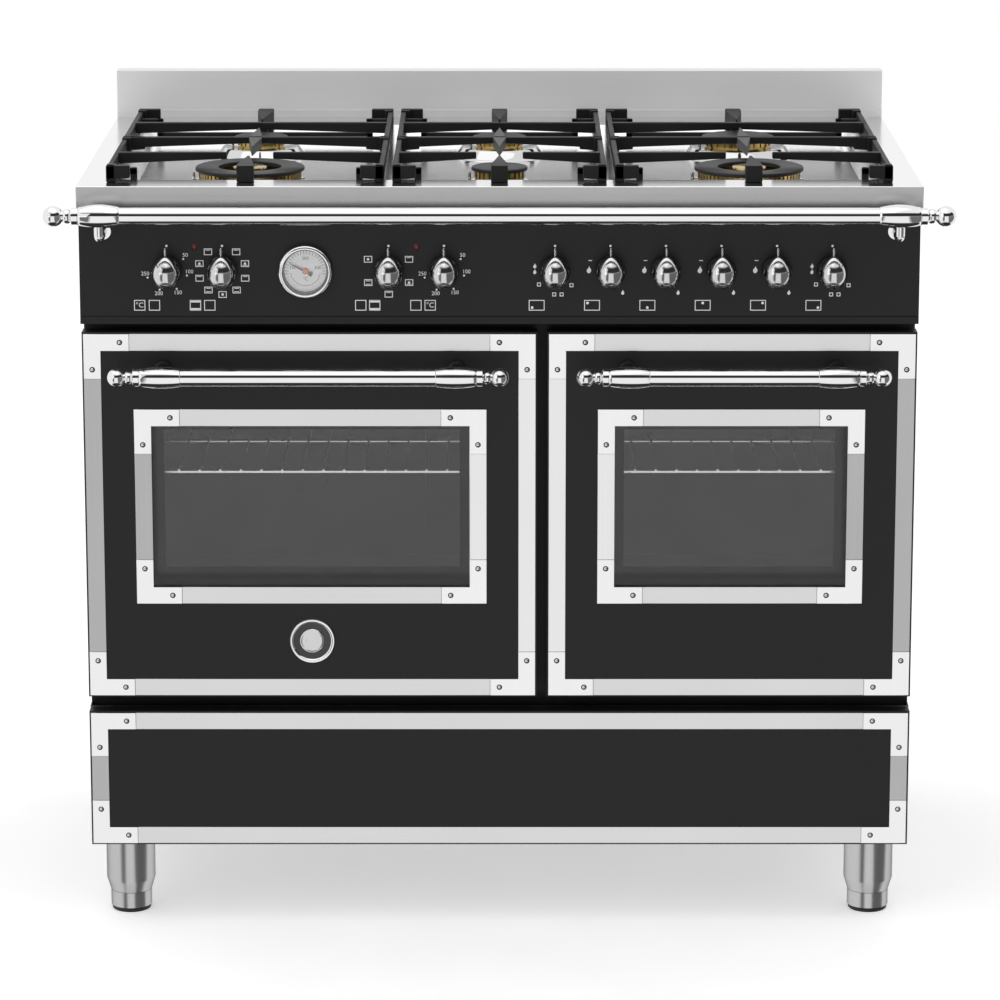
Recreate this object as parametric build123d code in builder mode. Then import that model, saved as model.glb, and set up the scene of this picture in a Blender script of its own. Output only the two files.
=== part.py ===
from build123d import *
import math
import os

# Range cooker, millimetres. X runs left to right, Y from the front to the back, Z up from the floor.

# Overall sizes
BODY_WIDTH = 996.0
BODY_DEPTH = 600.0
HOB_SIDE = 2.0
HOB_WIDTH = BODY_WIDTH + 2 * HOB_SIDE
HOB_OVERHANG = 12.0
SHEET = 1.5
FIT_GAP = 0.3
RUNNING_GAP = 0.05

# Heights of the front, from the floor up
LEG_HEIGHT = 110.0
DRAWER_SKIRT = 11.0
DRAWER_HEIGHT = 168.5
GRIP_GAP = 18.5
DOOR_HEIGHT = 449.0
DOOR_GAP = 10.0
PANEL_HEIGHT = 142.0
PANEL_LIP = 9.5
HOB_EDGE = 25.0
BACKGUARD_HEIGHT = 60.0

# Sheet-metal details
VENT_COUNT = 12
VENT_PITCH = 60.0
VENT_WIDTH = 36.0
VENT_HEIGHT = 6.0
VENT_DROP = 60.0
INLET_HOLE_GAP = 2.0
PAN_LIP = 12.0
LIP_STEP = 1.0
INLET_SIDE = 70.0

# Doors
LEFT_DOOR_WIDTH = 542.0
DOOR_SPLIT = 12.0
DOOR_SIDE_INSET = 1.0
DOOR_DEPTH = 40.0
DOOR_RETURN = 22.0
SEAL_GAP = 3.0
SEAL_WIDTH = 8.0
FRAME_SHEET = 2.0
GLASS = 4.0
GLASS_LAP = 14.0
LINER_INSET = 18.0
LINER_WINDOW_SIDE = 12.0
LINER_WINDOW_FOOT = 16.0
WINDOW_SIDE = 81.0
WINDOW_FOOT = 137.0
WINDOW_HEIGHT = 198.0
LINER_WALL = 1.5

# Door hinges
HINGE_BACK = 20.0
HINGE_RISE = 8.0
HINGE_PIN = 6.0
HINGE_KNUCKLE = 13.0
HINGE_WIDTH = 12.0
HINGE_SIDE = 70.0
HINGE_ROOM = 2.0
STRAP = 4.0
CHEEK = 4.0
STRAP_HEIGHT = 46.0

# Steel trim of the doors and the drawer
TRIM_BAND = 20.6
TRIM_INSET = 0.8
TRIM_SHEET = 1.2
CORNER_ARM = 54.5
CORNER_SHEET = 1.8
SCREW_REACH = 43.3
SCREW_HEAD = 6.8
SCREW_DOME = 1.6
SCREW_ROUND = 0.9

# Door handles and the rail across the front
HANDLE_REACH = 50.0
HANDLE_DROP = 45.0
HANDLE_BAR = 21.0
HANDLE_BARREL = 26.4
HANDLE_BALL = 22.0
HANDLE_SIDE = 34.0
BARREL_LENGTH = 48.0
BARREL_OFFSET = 38.0
HANDLE_POST = 13.0
POST_FLANGE = 22.0
RAIL_REACH = 52.0
RAIL_DROP = 4.0
RAIL_OVERHANG = 35.0
RAIL_LENGTH = HOB_WIDTH + 2 * RAIL_OVERHANG
RAIL_BAR = 21.0
RAIL_BARREL = 29.0
RAIL_BALL = 25.0
RAIL_PEG = 11.5
RAIL_PEG_LENGTH = 32.0
RAIL_BARREL_START = 42.0
NECK_SHARE = 0.27
BEAD_SHARE = 0.36
COLLAR_SHARE = 0.42

# Oven cavities and what they hold
CAVITY_SIDE = 54.0
CAVITY_FLOOR = 62.0
CAVITY_HEIGHT = 345.0
CAVITY_DEPTH = 420.0
CAVITY_SHEET = 1.5
LADDER_WIRE = 6.0
RAIL_WIRE = 5.0
RAIL_PAIR = 12.0
RAIL_PITCH = 65.0
RAIL_LEVELS = 4
RACK_LEVEL = 2
RACK_ROD = 6.0
RACK_WIRE = 3.0
RACK_PITCH = 25.0
RACK_DEPTH = 350.0
RACK_FRONT_GAP = 22.0
LADDER_FOOT = 66.0
LADDER_END = 30.0
ELEMENT_ROD = 7.0
ELEMENT_DROP = 22.0
ELEMENT_SIDE = 60.0
FAN_DIAMETER = 150.0
FAN_BLADES = 10
FAN_SHAFT = 8.0
FAN_DEPTH = 18.0
FAN_COVER_GAP = 32.0
FAN_COVER_WIDTH = 260.0
FAN_HUB = 24.0
FAN_STAND = 5.0
BLADE_SHEET = 2.0
COVER_HOLES = 12
COVER_HOLE = 24.0
COVER_RING = 75.0
MOTOR_DEPTH = 45.0
MOTOR_DIAMETER = 62.0
CAVITY_FLANGE = 10.0
LADDER_BITE = 1.0
RACK_BARS = 3
ELEMENT_FRONT = 70.0
ELEMENT_BEND = 30.0

# Drawer
DRAWER_FRONT = 22.0
DRAWER_BOX_SIDE = 48.0
DRAWER_BOX_WIDTH = BODY_WIDTH - 2 * DRAWER_BOX_SIDE
DRAWER_BOX_DEPTH = 470.0
DRAWER_BOX_HEIGHT = 110.0
DRAWER_BOX_SHEET = 2.0
DRAWER_BOX_FOOT = 25.0
RUNNER_HEIGHT = 12.0
RUNNER_DEPTH = 8.0
DRAWER_RAIL_HEIGHT = 34.0

# Legs
LEG_SIDE_INSET = 43.0
LEG_SIDE = BODY_WIDTH / 2 - LEG_SIDE_INSET
LEG_INSET = 58.0
LEG_SLEEVE = 60.0
LEG_TUBE = 51.0
SLEEVE_FOOT = 25.0
SLEEVE_TAPER = 11.0
PAD_HEIGHT = 5.0
PAD_INSET = 1.5

# Hob
HOB_SHEET = 2.0
HOB_DEPTH = 585.0
WELL_FRONT = 50.0
WELL_DEPTH = 458.0
WELL_SIDE = 42.0
WELL_DROP = 22.0
WELL_CORNER = 25.0
WELL_SLOPE = 40.0
BACKGUARD_STEP = 4.0
BACKGUARD_STEP_HEIGHT = 9.0
HOB_SOFT_EDGE = 1.5

# Burners: distances behind the hob's front edge, cap sizes and details. A bowl's three numbers say how far
# its foot and its top stand out past the cap, and its height.
BURNER_FRONT = 140.0
BURNER_REAR = 392.0
DUAL_BOWL = (4.0, 3.0, 7.0)
LOW_BOWL = (26.0, 3.0, 7.0)
TALL_BOWL = (26.0, 14.0, 12.0)
CROWN_RISE = 20.0
CAP_HEIGHT = 5.0
DUAL_CAP = 132.0
DUAL_HOLE = 75.0
DUAL_INNER = 42.0
SMALL_CAP = 68.0
LARGE_CAP = 92.0
ELECTRODE = 4.0
ELECTRODE_HEIGHT = 14.0
BASE_NECK = 40.0
NECK_LENGTH = 30.0
CROWN_INSET = 4.0
CROWN_WALL = 10.0
CROWN_SLOTS = 24
SLOT_WIDTH = 2.0
SLOT_DEPTH = 8.0
SLOT_HEIGHT = 4.0
CAP_ROUND = 1.5

# Grates
GRATE_TOP = 20.0
GRATE_FRONT = 30.0
GRATE_DEPTH = 488.0
GRATE_BORDER = 34.0
GRATE_CENTRE_WIDTH = 254.0
GRATE_SPACING = 10.0
GRATE_SIDE_WIDTH = HOB_WIDTH / 2 - GRATE_BORDER - GRATE_CENTRE_WIDTH / 2 - GRATE_SPACING
GRATE_BAR = 11.0
GRATE_BAR_HEIGHT = 14.0
GRATE_FOOT = 20.0
GRATE_STUB = 28.0
FINGER_GAP = 28.0
DIAMOND_LENGTH = 170.0
DIAMOND_WIDTH = 17.0
TIE_HEIGHT = 8.0
TIE_BAR = 8.0
TIE_INSET = 34.0
TIE_SIDE = 26.0
LINK_DROP = 8.0
STUB_HEIGHT = 16.0
FINGER_TIP = 8.0
DIAMOND_TIP = 1.0
POINT_TIP = 2.0

# Control panel
KNOB_SIDE = 103.8
KNOB_STEPS = 6
KNOB_PITCH = (BODY_WIDTH / 2 - KNOB_SIDE) / KNOB_STEPS
KNOB_RISE = 64.0
KNOB_WIDTH = 29.2
KNOB_STAND = 6.0
KNOB_SKIRT = 36.0
KNOB_SKIRT_DEPTH = 4.0
SPINDLE = 8.0
PUSH_TRAVEL = 4.0
PANEL_HOLE = 12.0
THERMOMETER_STEP = -3.5
THERMOMETER_BEZEL = 65.0
THERMOMETER_CAN = 54.0
THERMOMETER_STAND = 12.0
THERMOMETER_RIM = 5.0
POINTER_LENGTH = 21.0
LAMP = 7.0
LAMP_RISE = 93.0
LAMP_STEPS = (-5.5, -1.5)
OVEN_KNOBS = (
    ("thermostat_left", -6),
    ("selector_left", -5),
    ("selector_right", -2),
    ("thermostat_right", -1),
)
GAS_KNOBS = (1, 2, 3, 4, 5, 6)
SWITCH_SIZE = 40.0
SWITCH_DEPTH = 34.0
TAP_DIAMETER = 26.0
TAP_DEPTH = 40.0
MANIFOLD = 18.0
GAS_INLET = 21.0
INLET_LENGTH = 30.0
INLET_BORE = 15.0
KNOB_SPAN = (-16.6, 22.6)
KNOB_NIB = 9.0
NIB_WIDTH = 2.4
KNOB_HUB = 18.0
SPINDLE_DEPTH = 30.0
KNOB_SOCKET = 12.0
DIAL_RECESS = 8.0
CAN_LENGTH = 25.0
LENS = 1.5
POINTER_SHAFT = 2.0
POINTER_SHEET = 0.8
POINTER_TAIL = 9.0
POINTER_HUB = 7.0
POINTER_ANGLE = 152.0
LAMP_LENGTH = 14.0
LAMP_HEAD = 1.2
GRIP_SINK = 2.0
PEAR_FOOT = (0.74, 0.67)
PEAR_SHOULDER = (0.76, 0.6)
PEAR_LEAN = (-1, 1)
NEEDLE_TAIL_HALF = 2.0
NEEDLE_TIP_HALF = 0.4

# Places worked out from the sizes above
FRONT_REACH = max(RAIL_REACH + RAIL_BARREL / 2, HANDLE_REACH + HANDLE_BARREL / 2)
FACE_Y = (FRONT_REACH - BODY_DEPTH) / 2
BACK_Y = FACE_Y + BODY_DEPTH
FRAME_Y = FACE_Y + DOOR_DEPTH + SEAL_GAP
INNER_Y = FRAME_Y + FRAME_SHEET
HALF_BODY = BODY_WIDTH / 2
HALF_INNER = HALF_BODY - SHEET

BASE_TOP = LEG_HEIGHT + SHEET
DRAWER_FOOT = LEG_HEIGHT - DRAWER_SKIRT
DRAWER_TOP = DRAWER_FOOT + DRAWER_HEIGHT
DOOR_FOOT = DRAWER_TOP + GRIP_GAP
DOOR_TOP = DOOR_FOOT + DOOR_HEIGHT
PANEL_FOOT = DOOR_TOP + DOOR_GAP
PANEL_TOP = PANEL_FOOT + PANEL_HEIGHT
HOB_RIM = PANEL_TOP + HOB_EDGE
HOB_FRONT = FACE_Y - HOB_OVERHANG
UNDER_HOB = HOB_RIM - HOB_SHEET
WELL_FLOOR = HOB_RIM - WELL_DROP
BACKGUARD_Y = HOB_FRONT + HOB_DEPTH

LEFT_DOOR = (-HALF_BODY + DOOR_SIDE_INSET, -HALF_BODY + DOOR_SIDE_INSET + LEFT_DOOR_WIDTH)
RIGHT_DOOR = (LEFT_DOOR[1] + DOOR_SPLIT, HALF_BODY - DOOR_SIDE_INSET)
DOORS = (("left", LEFT_DOOR), ("right", RIGHT_DOOR))
WINDOW_Z = (DOOR_FOOT + WINDOW_FOOT, DOOR_FOOT + WINDOW_FOOT + WINDOW_HEIGHT)
PIVOT_Y = FACE_Y + HINGE_BACK
PIVOT_Z = DOOR_FOOT + HINGE_RISE
HANDLE_Z = DOOR_TOP - HANDLE_DROP
RAIL_Z = PANEL_TOP - RAIL_DROP
KNOB_Z = PANEL_FOOT + KNOB_RISE

CAVITY_Z = (DOOR_FOOT + CAVITY_FLOOR, DOOR_FOOT + CAVITY_FLOOR + CAVITY_HEIGHT)
CAVITY_BACK = INNER_Y + CAVITY_DEPTH
DRAWER_BOX_Z = (BASE_TOP + DRAWER_BOX_FOOT, BASE_TOP + DRAWER_BOX_FOOT + DRAWER_BOX_HEIGHT)
BASE_FRONT = FACE_Y + DRAWER_FRONT + DRAWER_BOX_SHEET + HINGE_ROOM
RUNNER_Z = (DRAWER_BOX_Z[0] + DRAWER_BOX_Z[1]) / 2
DRAWER_OPENING_X = DRAWER_BOX_WIDTH / 2 + RUNNER_DEPTH + HINGE_ROOM
INLET_X = HALF_BODY - INLET_SIDE
HALF_HOB = HOB_WIDTH / 2
HOB_Y = (HOB_FRONT, BACKGUARD_Y)
WELL_MIDDLE = HOB_FRONT + WELL_FRONT + WELL_DEPTH / 2
FAN_X = (LEFT_DOOR[0] + LEFT_DOOR[1]) / 2
FAN_Z = (CAVITY_Z[0] + CAVITY_Z[1]) / 2
LEG_Y = (FACE_Y + LEG_INSET, BACK_Y - LEG_INSET)
DRAWER_X = (LEFT_DOOR[0], RIGHT_DOOR[1])
DRAWER_Z = (DRAWER_FOOT, DRAWER_TOP)
DRAWER_BOX_Y = (FACE_Y + DRAWER_FRONT, FACE_Y + DRAWER_FRONT + DRAWER_BOX_DEPTH)
BEHIND_PANEL = FACE_Y + SHEET
SPINDLE_BORE = SPINDLE + 2 * RUNNING_GAP
CROWN_TOP = WELL_FLOOR + CROWN_RISE
GRATE_Z = (HOB_RIM + GRATE_TOP - GRATE_BAR_HEIGHT, HOB_RIM + GRATE_TOP)
FOOT_Z = HOB_RIM + FIT_GAP
KNOB_SEAT = FACE_Y - KNOB_STAND
KNOB_MIDDLE = KNOB_SEAT - KNOB_SKIRT_DEPTH - KNOB_WIDTH / 2 + GRIP_SINK
BURNER_PITCH = (GRATE_CENTRE_WIDTH + GRATE_SIDE_WIDTH) / 2 + GRATE_SPACING
BURNERS = (
    (-BURNER_PITCH, BURNER_FRONT, DUAL_CAP, DUAL_BOWL),
    (0.0, BURNER_FRONT, SMALL_CAP, LOW_BOWL),
    (BURNER_PITCH, BURNER_FRONT, DUAL_CAP, DUAL_BOWL),
    (-BURNER_PITCH, BURNER_REAR, SMALL_CAP, TALL_BOWL),
    (0.0, BURNER_REAR, SMALL_CAP, TALL_BOWL),
    (BURNER_PITCH, BURNER_REAR, LARGE_CAP, TALL_BOWL),
)

FROM_BELOW = (Align.CENTER, Align.CENTER, Align.MIN)
CENTRED = (Align.CENTER, Align.CENTER, Align.CENTER)

os.makedirs("parts", exist_ok=True)


def block(x, y, z, mode=Mode.ADD):
    """A box between the low and high ends of each axis."""
    middle = ((x[0] + x[1]) / 2, (y[0] + y[1]) / 2, (z[0] + z[1]) / 2)
    with Locations(middle):
        Box(x[1] - x[0], y[1] - y[0], z[1] - z[0], mode=mode)


def rod(start, direction, diameter, length, mode=Mode.ADD):
    """A round bar from a point along a direction."""
    with Locations(Plane(origin=start, z_dir=direction)):
        Cylinder(diameter / 2, length, align=FROM_BELOW, mode=mode)


def spread(centre, half):
    """The low and high ends of a span about its middle."""
    return (centre - half, centre + half)


def inset(span, margin):
    """A span drawn in by the same margin at both ends."""
    return (span[0] + margin, span[1] - margin)


def loop(x, z, y, band, mode=Mode.ADD):
    """A flat rectangular ring: outer sizes x and z, thickness y, and the width of its band."""
    with BuildPart(mode=Mode.PRIVATE) as ring:
        block(x, y, z)
        block(inset(x, band), y, inset(z, band), Mode.SUBTRACT)
    add(ring.part, mode=mode)


def save(piece, label):
    """Name a finished piece and write it."""
    piece.label = label
    export_step(piece, f"parts/{label}.step")


def save_group(pieces, label):
    """Write several pieces as one node, each still its own solid."""
    save(Compound([solid for piece in pieces for solid in piece.solids()]), label)


def cavity_span(door):
    """Inside width of the oven behind a door."""
    return inset(door, CAVITY_SIDE)


def window_span(door):
    """Clear width of a door's window."""
    return inset(door, WINDOW_SIDE)


def hinge_places(door):
    """Middle of each hinge along a door's foot."""
    return inset(door, HINGE_SIDE)


# Sheet-metal body
with BuildPart() as side_panels:
    for side in (-1, 1):
        outer = sorted((side * HALF_BODY, side * HALF_INNER))
        lid_end = BACKGUARD_Y - HOB_SHEET
        block(outer, (FRAME_Y, lid_end), (LEG_HEIGHT, UNDER_HOB))
        block(outer, (lid_end, BACK_Y - SHEET), (LEG_HEIGHT, PANEL_TOP))
        block(outer, (BASE_FRONT, FRAME_Y), (LEG_HEIGHT, DRAWER_TOP))
save(side_panels.part, "side_panels")

with BuildPart() as back_panel:
    block((-HALF_BODY, HALF_BODY), (BACK_Y - SHEET, BACK_Y), (LEG_HEIGHT, PANEL_TOP))
    with Locations((0, BACK_Y - SHEET / 2, PANEL_TOP - VENT_DROP)):
        with GridLocations(VENT_PITCH, 1, VENT_COUNT, 1):
            Box(VENT_WIDTH, SHEET * 2, VENT_HEIGHT, mode=Mode.SUBTRACT)
    inlet_hole = GAS_INLET + 2 * INLET_HOLE_GAP
    rod((INLET_X, BACK_Y - SHEET, KNOB_Z), (0, 1, 0), inlet_hole, SHEET, Mode.SUBTRACT)
save(back_panel.part, "back_panel")

with BuildPart() as base_pan:
    block((-HALF_INNER, HALF_INNER), (BASE_FRONT, BACK_Y - SHEET), (LEG_HEIGHT, BASE_TOP))
    block((-HALF_INNER, HALF_INNER), (BACK_Y - 2 * SHEET, BACK_Y - SHEET), (BASE_TOP, BASE_TOP + PAN_LIP))
    for side in (-1, 1):
        rail_x = sorted((side * (DRAWER_BOX_WIDTH / 2 + 2 * FIT_GAP), side * HALF_INNER))
        groove_end = DRAWER_BOX_WIDTH / 2 + RUNNER_DEPTH + 2 * FIT_GAP
        groove_x = sorted((side * DRAWER_BOX_WIDTH / 2, side * groove_end))
        rail_y = (INNER_Y, INNER_Y + DRAWER_BOX_DEPTH)
        block(rail_x, rail_y, spread(RUNNER_Z, DRAWER_RAIL_HEIGHT / 2))
        block(groove_x, rail_y, spread(RUNNER_Z, RUNNER_HEIGHT / 2 + FIT_GAP), Mode.SUBTRACT)
save(base_pan.part, "base_pan")

with BuildPart() as front_frame:
    block((-HALF_INNER, HALF_INNER), (FRAME_Y, INNER_Y), (BASE_TOP, PANEL_FOOT + SHEET))
    for door_name, door in DOORS:
        block(cavity_span(door), (FRAME_Y, INNER_Y), CAVITY_Z, Mode.SUBTRACT)
    drawer_mouth = (BASE_TOP, DRAWER_BOX_Z[1] + DRAWER_BOX_FOOT / 2)
    block(spread(0, DRAWER_OPENING_X), (FRAME_Y, INNER_Y), drawer_mouth, Mode.SUBTRACT)
    for door_name, door in DOORS:
        for hinge_x in hinge_places(door):
            arm_x = spread(hinge_x, HINGE_WIDTH / 2)
            block(arm_x, (PIVOT_Y, FRAME_Y), spread(PIVOT_Z, HINGE_KNUCKLE / 2 - HINGE_ROOM / 2))
            rod((arm_x[0], PIVOT_Y, PIVOT_Z), (1, 0, 0), HINGE_KNUCKLE, HINGE_WIDTH)
            pin_bore = HINGE_PIN + 2 * RUNNING_GAP
            rod((arm_x[0], PIVOT_Y, PIVOT_Z), (1, 0, 0), pin_bore, HINGE_WIDTH, Mode.SUBTRACT)
save(front_frame.part, "front_frame")

with BuildPart() as control_panel:
    face = (FACE_Y, FACE_Y + SHEET)
    lip_top = PANEL_FOOT + PANEL_LIP
    block((-HALF_BODY, HALF_BODY), face, (lip_top, UNDER_HOB))
    lip_y = (FACE_Y + LIP_STEP, FACE_Y + LIP_STEP + SHEET)
    block((-HALF_BODY, HALF_BODY), lip_y, (PANEL_FOOT, lip_top + SHEET))
    block((-HALF_BODY, HALF_BODY), (FACE_Y + LIP_STEP, FRAME_Y), (PANEL_FOOT, PANEL_FOOT + SHEET))
    for side in (-1, 1):
        end = sorted((side * HALF_BODY, side * HALF_INNER))
        block(end, (FACE_Y + LIP_STEP, FRAME_Y), (PANEL_FOOT, UNDER_HOB))
    for step in [place for name, place in OVEN_KNOBS] + list(GAS_KNOBS):
        rod((step * KNOB_PITCH, FACE_Y, KNOB_Z), (0, 1, 0), PANEL_HOLE, SHEET, Mode.SUBTRACT)
    rod((THERMOMETER_STEP * KNOB_PITCH, FACE_Y, KNOB_Z), (0, 1, 0), THERMOMETER_CAN, SHEET, Mode.SUBTRACT)
    for step in LAMP_STEPS:
        rod((step * KNOB_PITCH, FACE_Y, PANEL_FOOT + LAMP_RISE), (0, 1, 0), LAMP, SHEET, Mode.SUBTRACT)
save(control_panel.part, "control_panel")

# Hob: a pressed lid with a sloping well, open below
with BuildPart() as hob_top:
    block((-HALF_HOB, HALF_HOB), HOB_Y, (PANEL_TOP, HOB_RIM))
    soft = hob_top.edges().group_by(Axis.Z)[-1] + hob_top.edges().filter_by(Axis.Z)
    fillet(soft, radius=HOB_SOFT_EDGE)
    hollow_x = inset((-HALF_HOB, HALF_HOB), HOB_SHEET)
    block(hollow_x, inset(HOB_Y, HOB_SHEET), (PANEL_TOP, UNDER_HOB), Mode.SUBTRACT)
    for sheet, mode in ((HOB_SHEET, Mode.ADD), (0.0, Mode.SUBTRACT)):
        with BuildSketch(Plane.XY.offset(HOB_RIM)) as well:
            with Locations((0, WELL_MIDDLE)):
                well_width = HOB_WIDTH - 2 * WELL_SIDE + 2 * sheet
                RectangleRounded(well_width, WELL_DEPTH + 2 * sheet, WELL_CORNER + sheet)
        extrude(amount=-(WELL_DROP + sheet), taper=WELL_SLOPE, mode=mode)
    for burner_x, behind, cap, bowl in BURNERS:
        neck_hole = (burner_x, HOB_FRONT + behind, WELL_FLOOR - HOB_SHEET)
        rod(neck_hole, (0, 0, 1), BASE_NECK, HOB_SHEET, Mode.SUBTRACT)
save(hob_top.part, "hob_top")

with BuildPart() as backguard:
    guard_z = (PANEL_TOP, HOB_RIM + BACKGUARD_HEIGHT)
    step_z = (HOB_RIM, HOB_RIM + BACKGUARD_STEP_HEIGHT)
    block((-HALF_HOB, HALF_HOB), (BACKGUARD_Y, BACK_Y), guard_z)
    hollow_x = inset((-HALF_HOB, HALF_HOB), SHEET)
    hollow_y = inset((BACKGUARD_Y, BACK_Y), SHEET)
    block(hollow_x, hollow_y, (PANEL_TOP, guard_z[1] - SHEET), Mode.SUBTRACT)
    block((-HALF_HOB, HALF_HOB), (BACKGUARD_Y - BACKGUARD_STEP, BACKGUARD_Y), step_z)
save(backguard.part, "backguard")

# Oven cavities: enamelled boxes open at the front, with a flange against the frame
for door_name, door in DOORS:
    with BuildPart() as oven_cavity:
        span = cavity_span(door)
        outer_x = inset(span, -CAVITY_SHEET)
        outer_z = inset(CAVITY_Z, -CAVITY_SHEET)
        block(outer_x, (INNER_Y, CAVITY_BACK + CAVITY_SHEET), outer_z)
        block(inset(span, -CAVITY_FLANGE), (INNER_Y, INNER_Y + CAVITY_SHEET), inset(CAVITY_Z, -CAVITY_FLANGE))
        block(span, (INNER_Y, CAVITY_BACK), CAVITY_Z, Mode.SUBTRACT)
        if door is LEFT_DOOR:
            motor_bore = FAN_SHAFT + 2 * RUNNING_GAP
            back = CAVITY_BACK + CAVITY_SHEET
            rod((FAN_X, back, FAN_Z), (0, 1, 0), MOTOR_DIAMETER, MOTOR_DEPTH)
            rod((FAN_X, CAVITY_BACK, FAN_Z), (0, 1, 0), motor_bore, MOTOR_DEPTH, Mode.SUBTRACT)
    save(oven_cavity.part, f"oven_cavity_{door_name}")

# Legs: a sleeve, a tube that screws out of it and a rubber pad
with BuildPart() as leg_sleeves:
    for leg_x in (-LEG_SIDE, LEG_SIDE):
        for leg_y in LEG_Y:
            with BuildSketch(Plane(origin=(leg_x, leg_y, 0), x_dir=(1, 0, 0), z_dir=(0, -1, 0))):
                with BuildLine():
                    Polyline(
                        (0, SLEEVE_FOOT),
                        (LEG_TUBE / 2, SLEEVE_FOOT),
                        (LEG_SLEEVE / 2, SLEEVE_FOOT + SLEEVE_TAPER),
                        (LEG_SLEEVE / 2, LEG_HEIGHT),
                        (0, LEG_HEIGHT),
                        close=True,
                    )
                make_face()
            revolve(axis=Axis((leg_x, leg_y, 0), (0, 0, 1)))
with BuildPart() as leg_tubes:
    for leg_x in (-LEG_SIDE, LEG_SIDE):
        for leg_y in LEG_Y:
            rod((leg_x, leg_y, PAD_HEIGHT), (0, 0, 1), LEG_TUBE - 2 * FIT_GAP, SLEEVE_FOOT - PAD_HEIGHT)
with BuildPart() as leg_pads:
    for leg_x in (-LEG_SIDE, LEG_SIDE):
        for leg_y in LEG_Y:
            rod((leg_x, leg_y, 0), (0, 0, 1), LEG_TUBE - 2 * PAD_INSET, PAD_HEIGHT)
save_group((leg_sleeves.part, leg_tubes.part, leg_pads.part), "legs")


def turned_bar(length, bar, barrel, ball, barrel_start):
    """A turned bar along X: ball ends, beaded necks, collars, swelling barrels and a plain middle."""
    neck = ball * NECK_SHARE
    bead = ball * BEAD_SHARE
    ball_end = ball / 2 + math.sqrt((ball / 2) ** 2 - neck**2)
    collar_width = (barrel_start - ball_end) * COLLAR_SHARE
    collar = barrel_start - collar_width
    with BuildPart() as turned:
        with BuildSketch(Plane.XY):
            with BuildLine():
                ThreePointArc((0, 0), (ball / 2, ball / 2), (ball_end, neck))
                ThreePointArc((ball_end, neck), ((ball_end + collar) / 2, bead), (collar, neck))
                Polyline((collar, neck), (collar, bar / 2), (barrel_start, bar / 2))
                barrel_end = barrel_start + BARREL_LENGTH
                ThreePointArc(
                    (barrel_start, bar / 2),
                    ((barrel_start + barrel_end) / 2, barrel / 2),
                    (barrel_end, bar / 2),
                )
                Polyline((barrel_end, bar / 2), (length / 2, bar / 2), (length / 2, 0), (0, 0))
            make_face()
        revolve(axis=Axis.X)
        mirror(about=Plane.YZ.offset(length / 2))
    return turned.part


# Rail across the front, held by two bent pegs
rail_peg_x = RAIL_LENGTH / 2 - RAIL_BARREL_START - BARREL_LENGTH / 2
rail_y = FACE_Y - RAIL_REACH
peg_foot = RAIL_Z - RAIL_PEG_LENGTH + RAIL_PEG / 2
with BuildPart() as handrail:
    with Locations((-RAIL_LENGTH / 2, rail_y, RAIL_Z)):
        add(turned_bar(RAIL_LENGTH, RAIL_BAR, RAIL_BARREL, RAIL_BALL, RAIL_BARREL_START))
    for side in (-1, 1):
        elbow = (side * rail_peg_x, rail_y, peg_foot)
        rod(elbow, (0, 0, 1), RAIL_PEG, RAIL_Z - peg_foot)
        rod(elbow, (0, 1, 0), RAIL_PEG, RAIL_REACH)
        with Locations(elbow):
            Sphere(RAIL_PEG / 2)
save(handrail.part, "handrail")


def make_trim(x, z, band):
    """Steel edging of a flat front: strips, corner plates and domed screws, as three groups."""
    skin = FACE_Y - TRIM_SHEET
    plate = FACE_Y - CORNER_SHEET
    with BuildPart() as strips:
        for level in ((z[0], z[0] + band), (z[1] - band, z[1])):
            block(inset(x, CORNER_ARM), (skin, FACE_Y), level)
        for column in ((x[0], x[0] + band), (x[1] - band, x[1])):
            block(column, (skin, FACE_Y), inset(z, CORNER_ARM))
    with BuildPart() as plates:
        for corner_x, across in ((x[0], 1), (x[1], -1)):
            for corner_z, up in ((z[0], 1), (z[1], -1)):
                long_x = sorted((corner_x, corner_x + across * CORNER_ARM))
                long_z = sorted((corner_z, corner_z + up * CORNER_ARM))
                thin_x = sorted((corner_x, corner_x + across * band))
                thin_z = sorted((corner_z, corner_z + up * band))
                block(long_x, (plate, FACE_Y), thin_z)
                block(thin_x, (plate, FACE_Y), long_z)
    with BuildPart() as screws:
        for corner_x, across in ((x[0], 1), (x[1], -1)):
            for corner_z, up in ((z[0], 1), (z[1], -1)):
                along = (corner_x + across * SCREW_REACH, plate, corner_z + up * band / 2)
                upright = (corner_x + across * band / 2, plate, corner_z + up * SCREW_REACH)
                for place in (along, upright):
                    rod(place, (0, -1, 0), SCREW_HEAD, SCREW_DOME)
        fillet(screws.edges().group_by(Axis.Y)[0], radius=SCREW_DOME * SCREW_ROUND)
    return [strips.part, plates.part, screws.part]


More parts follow.
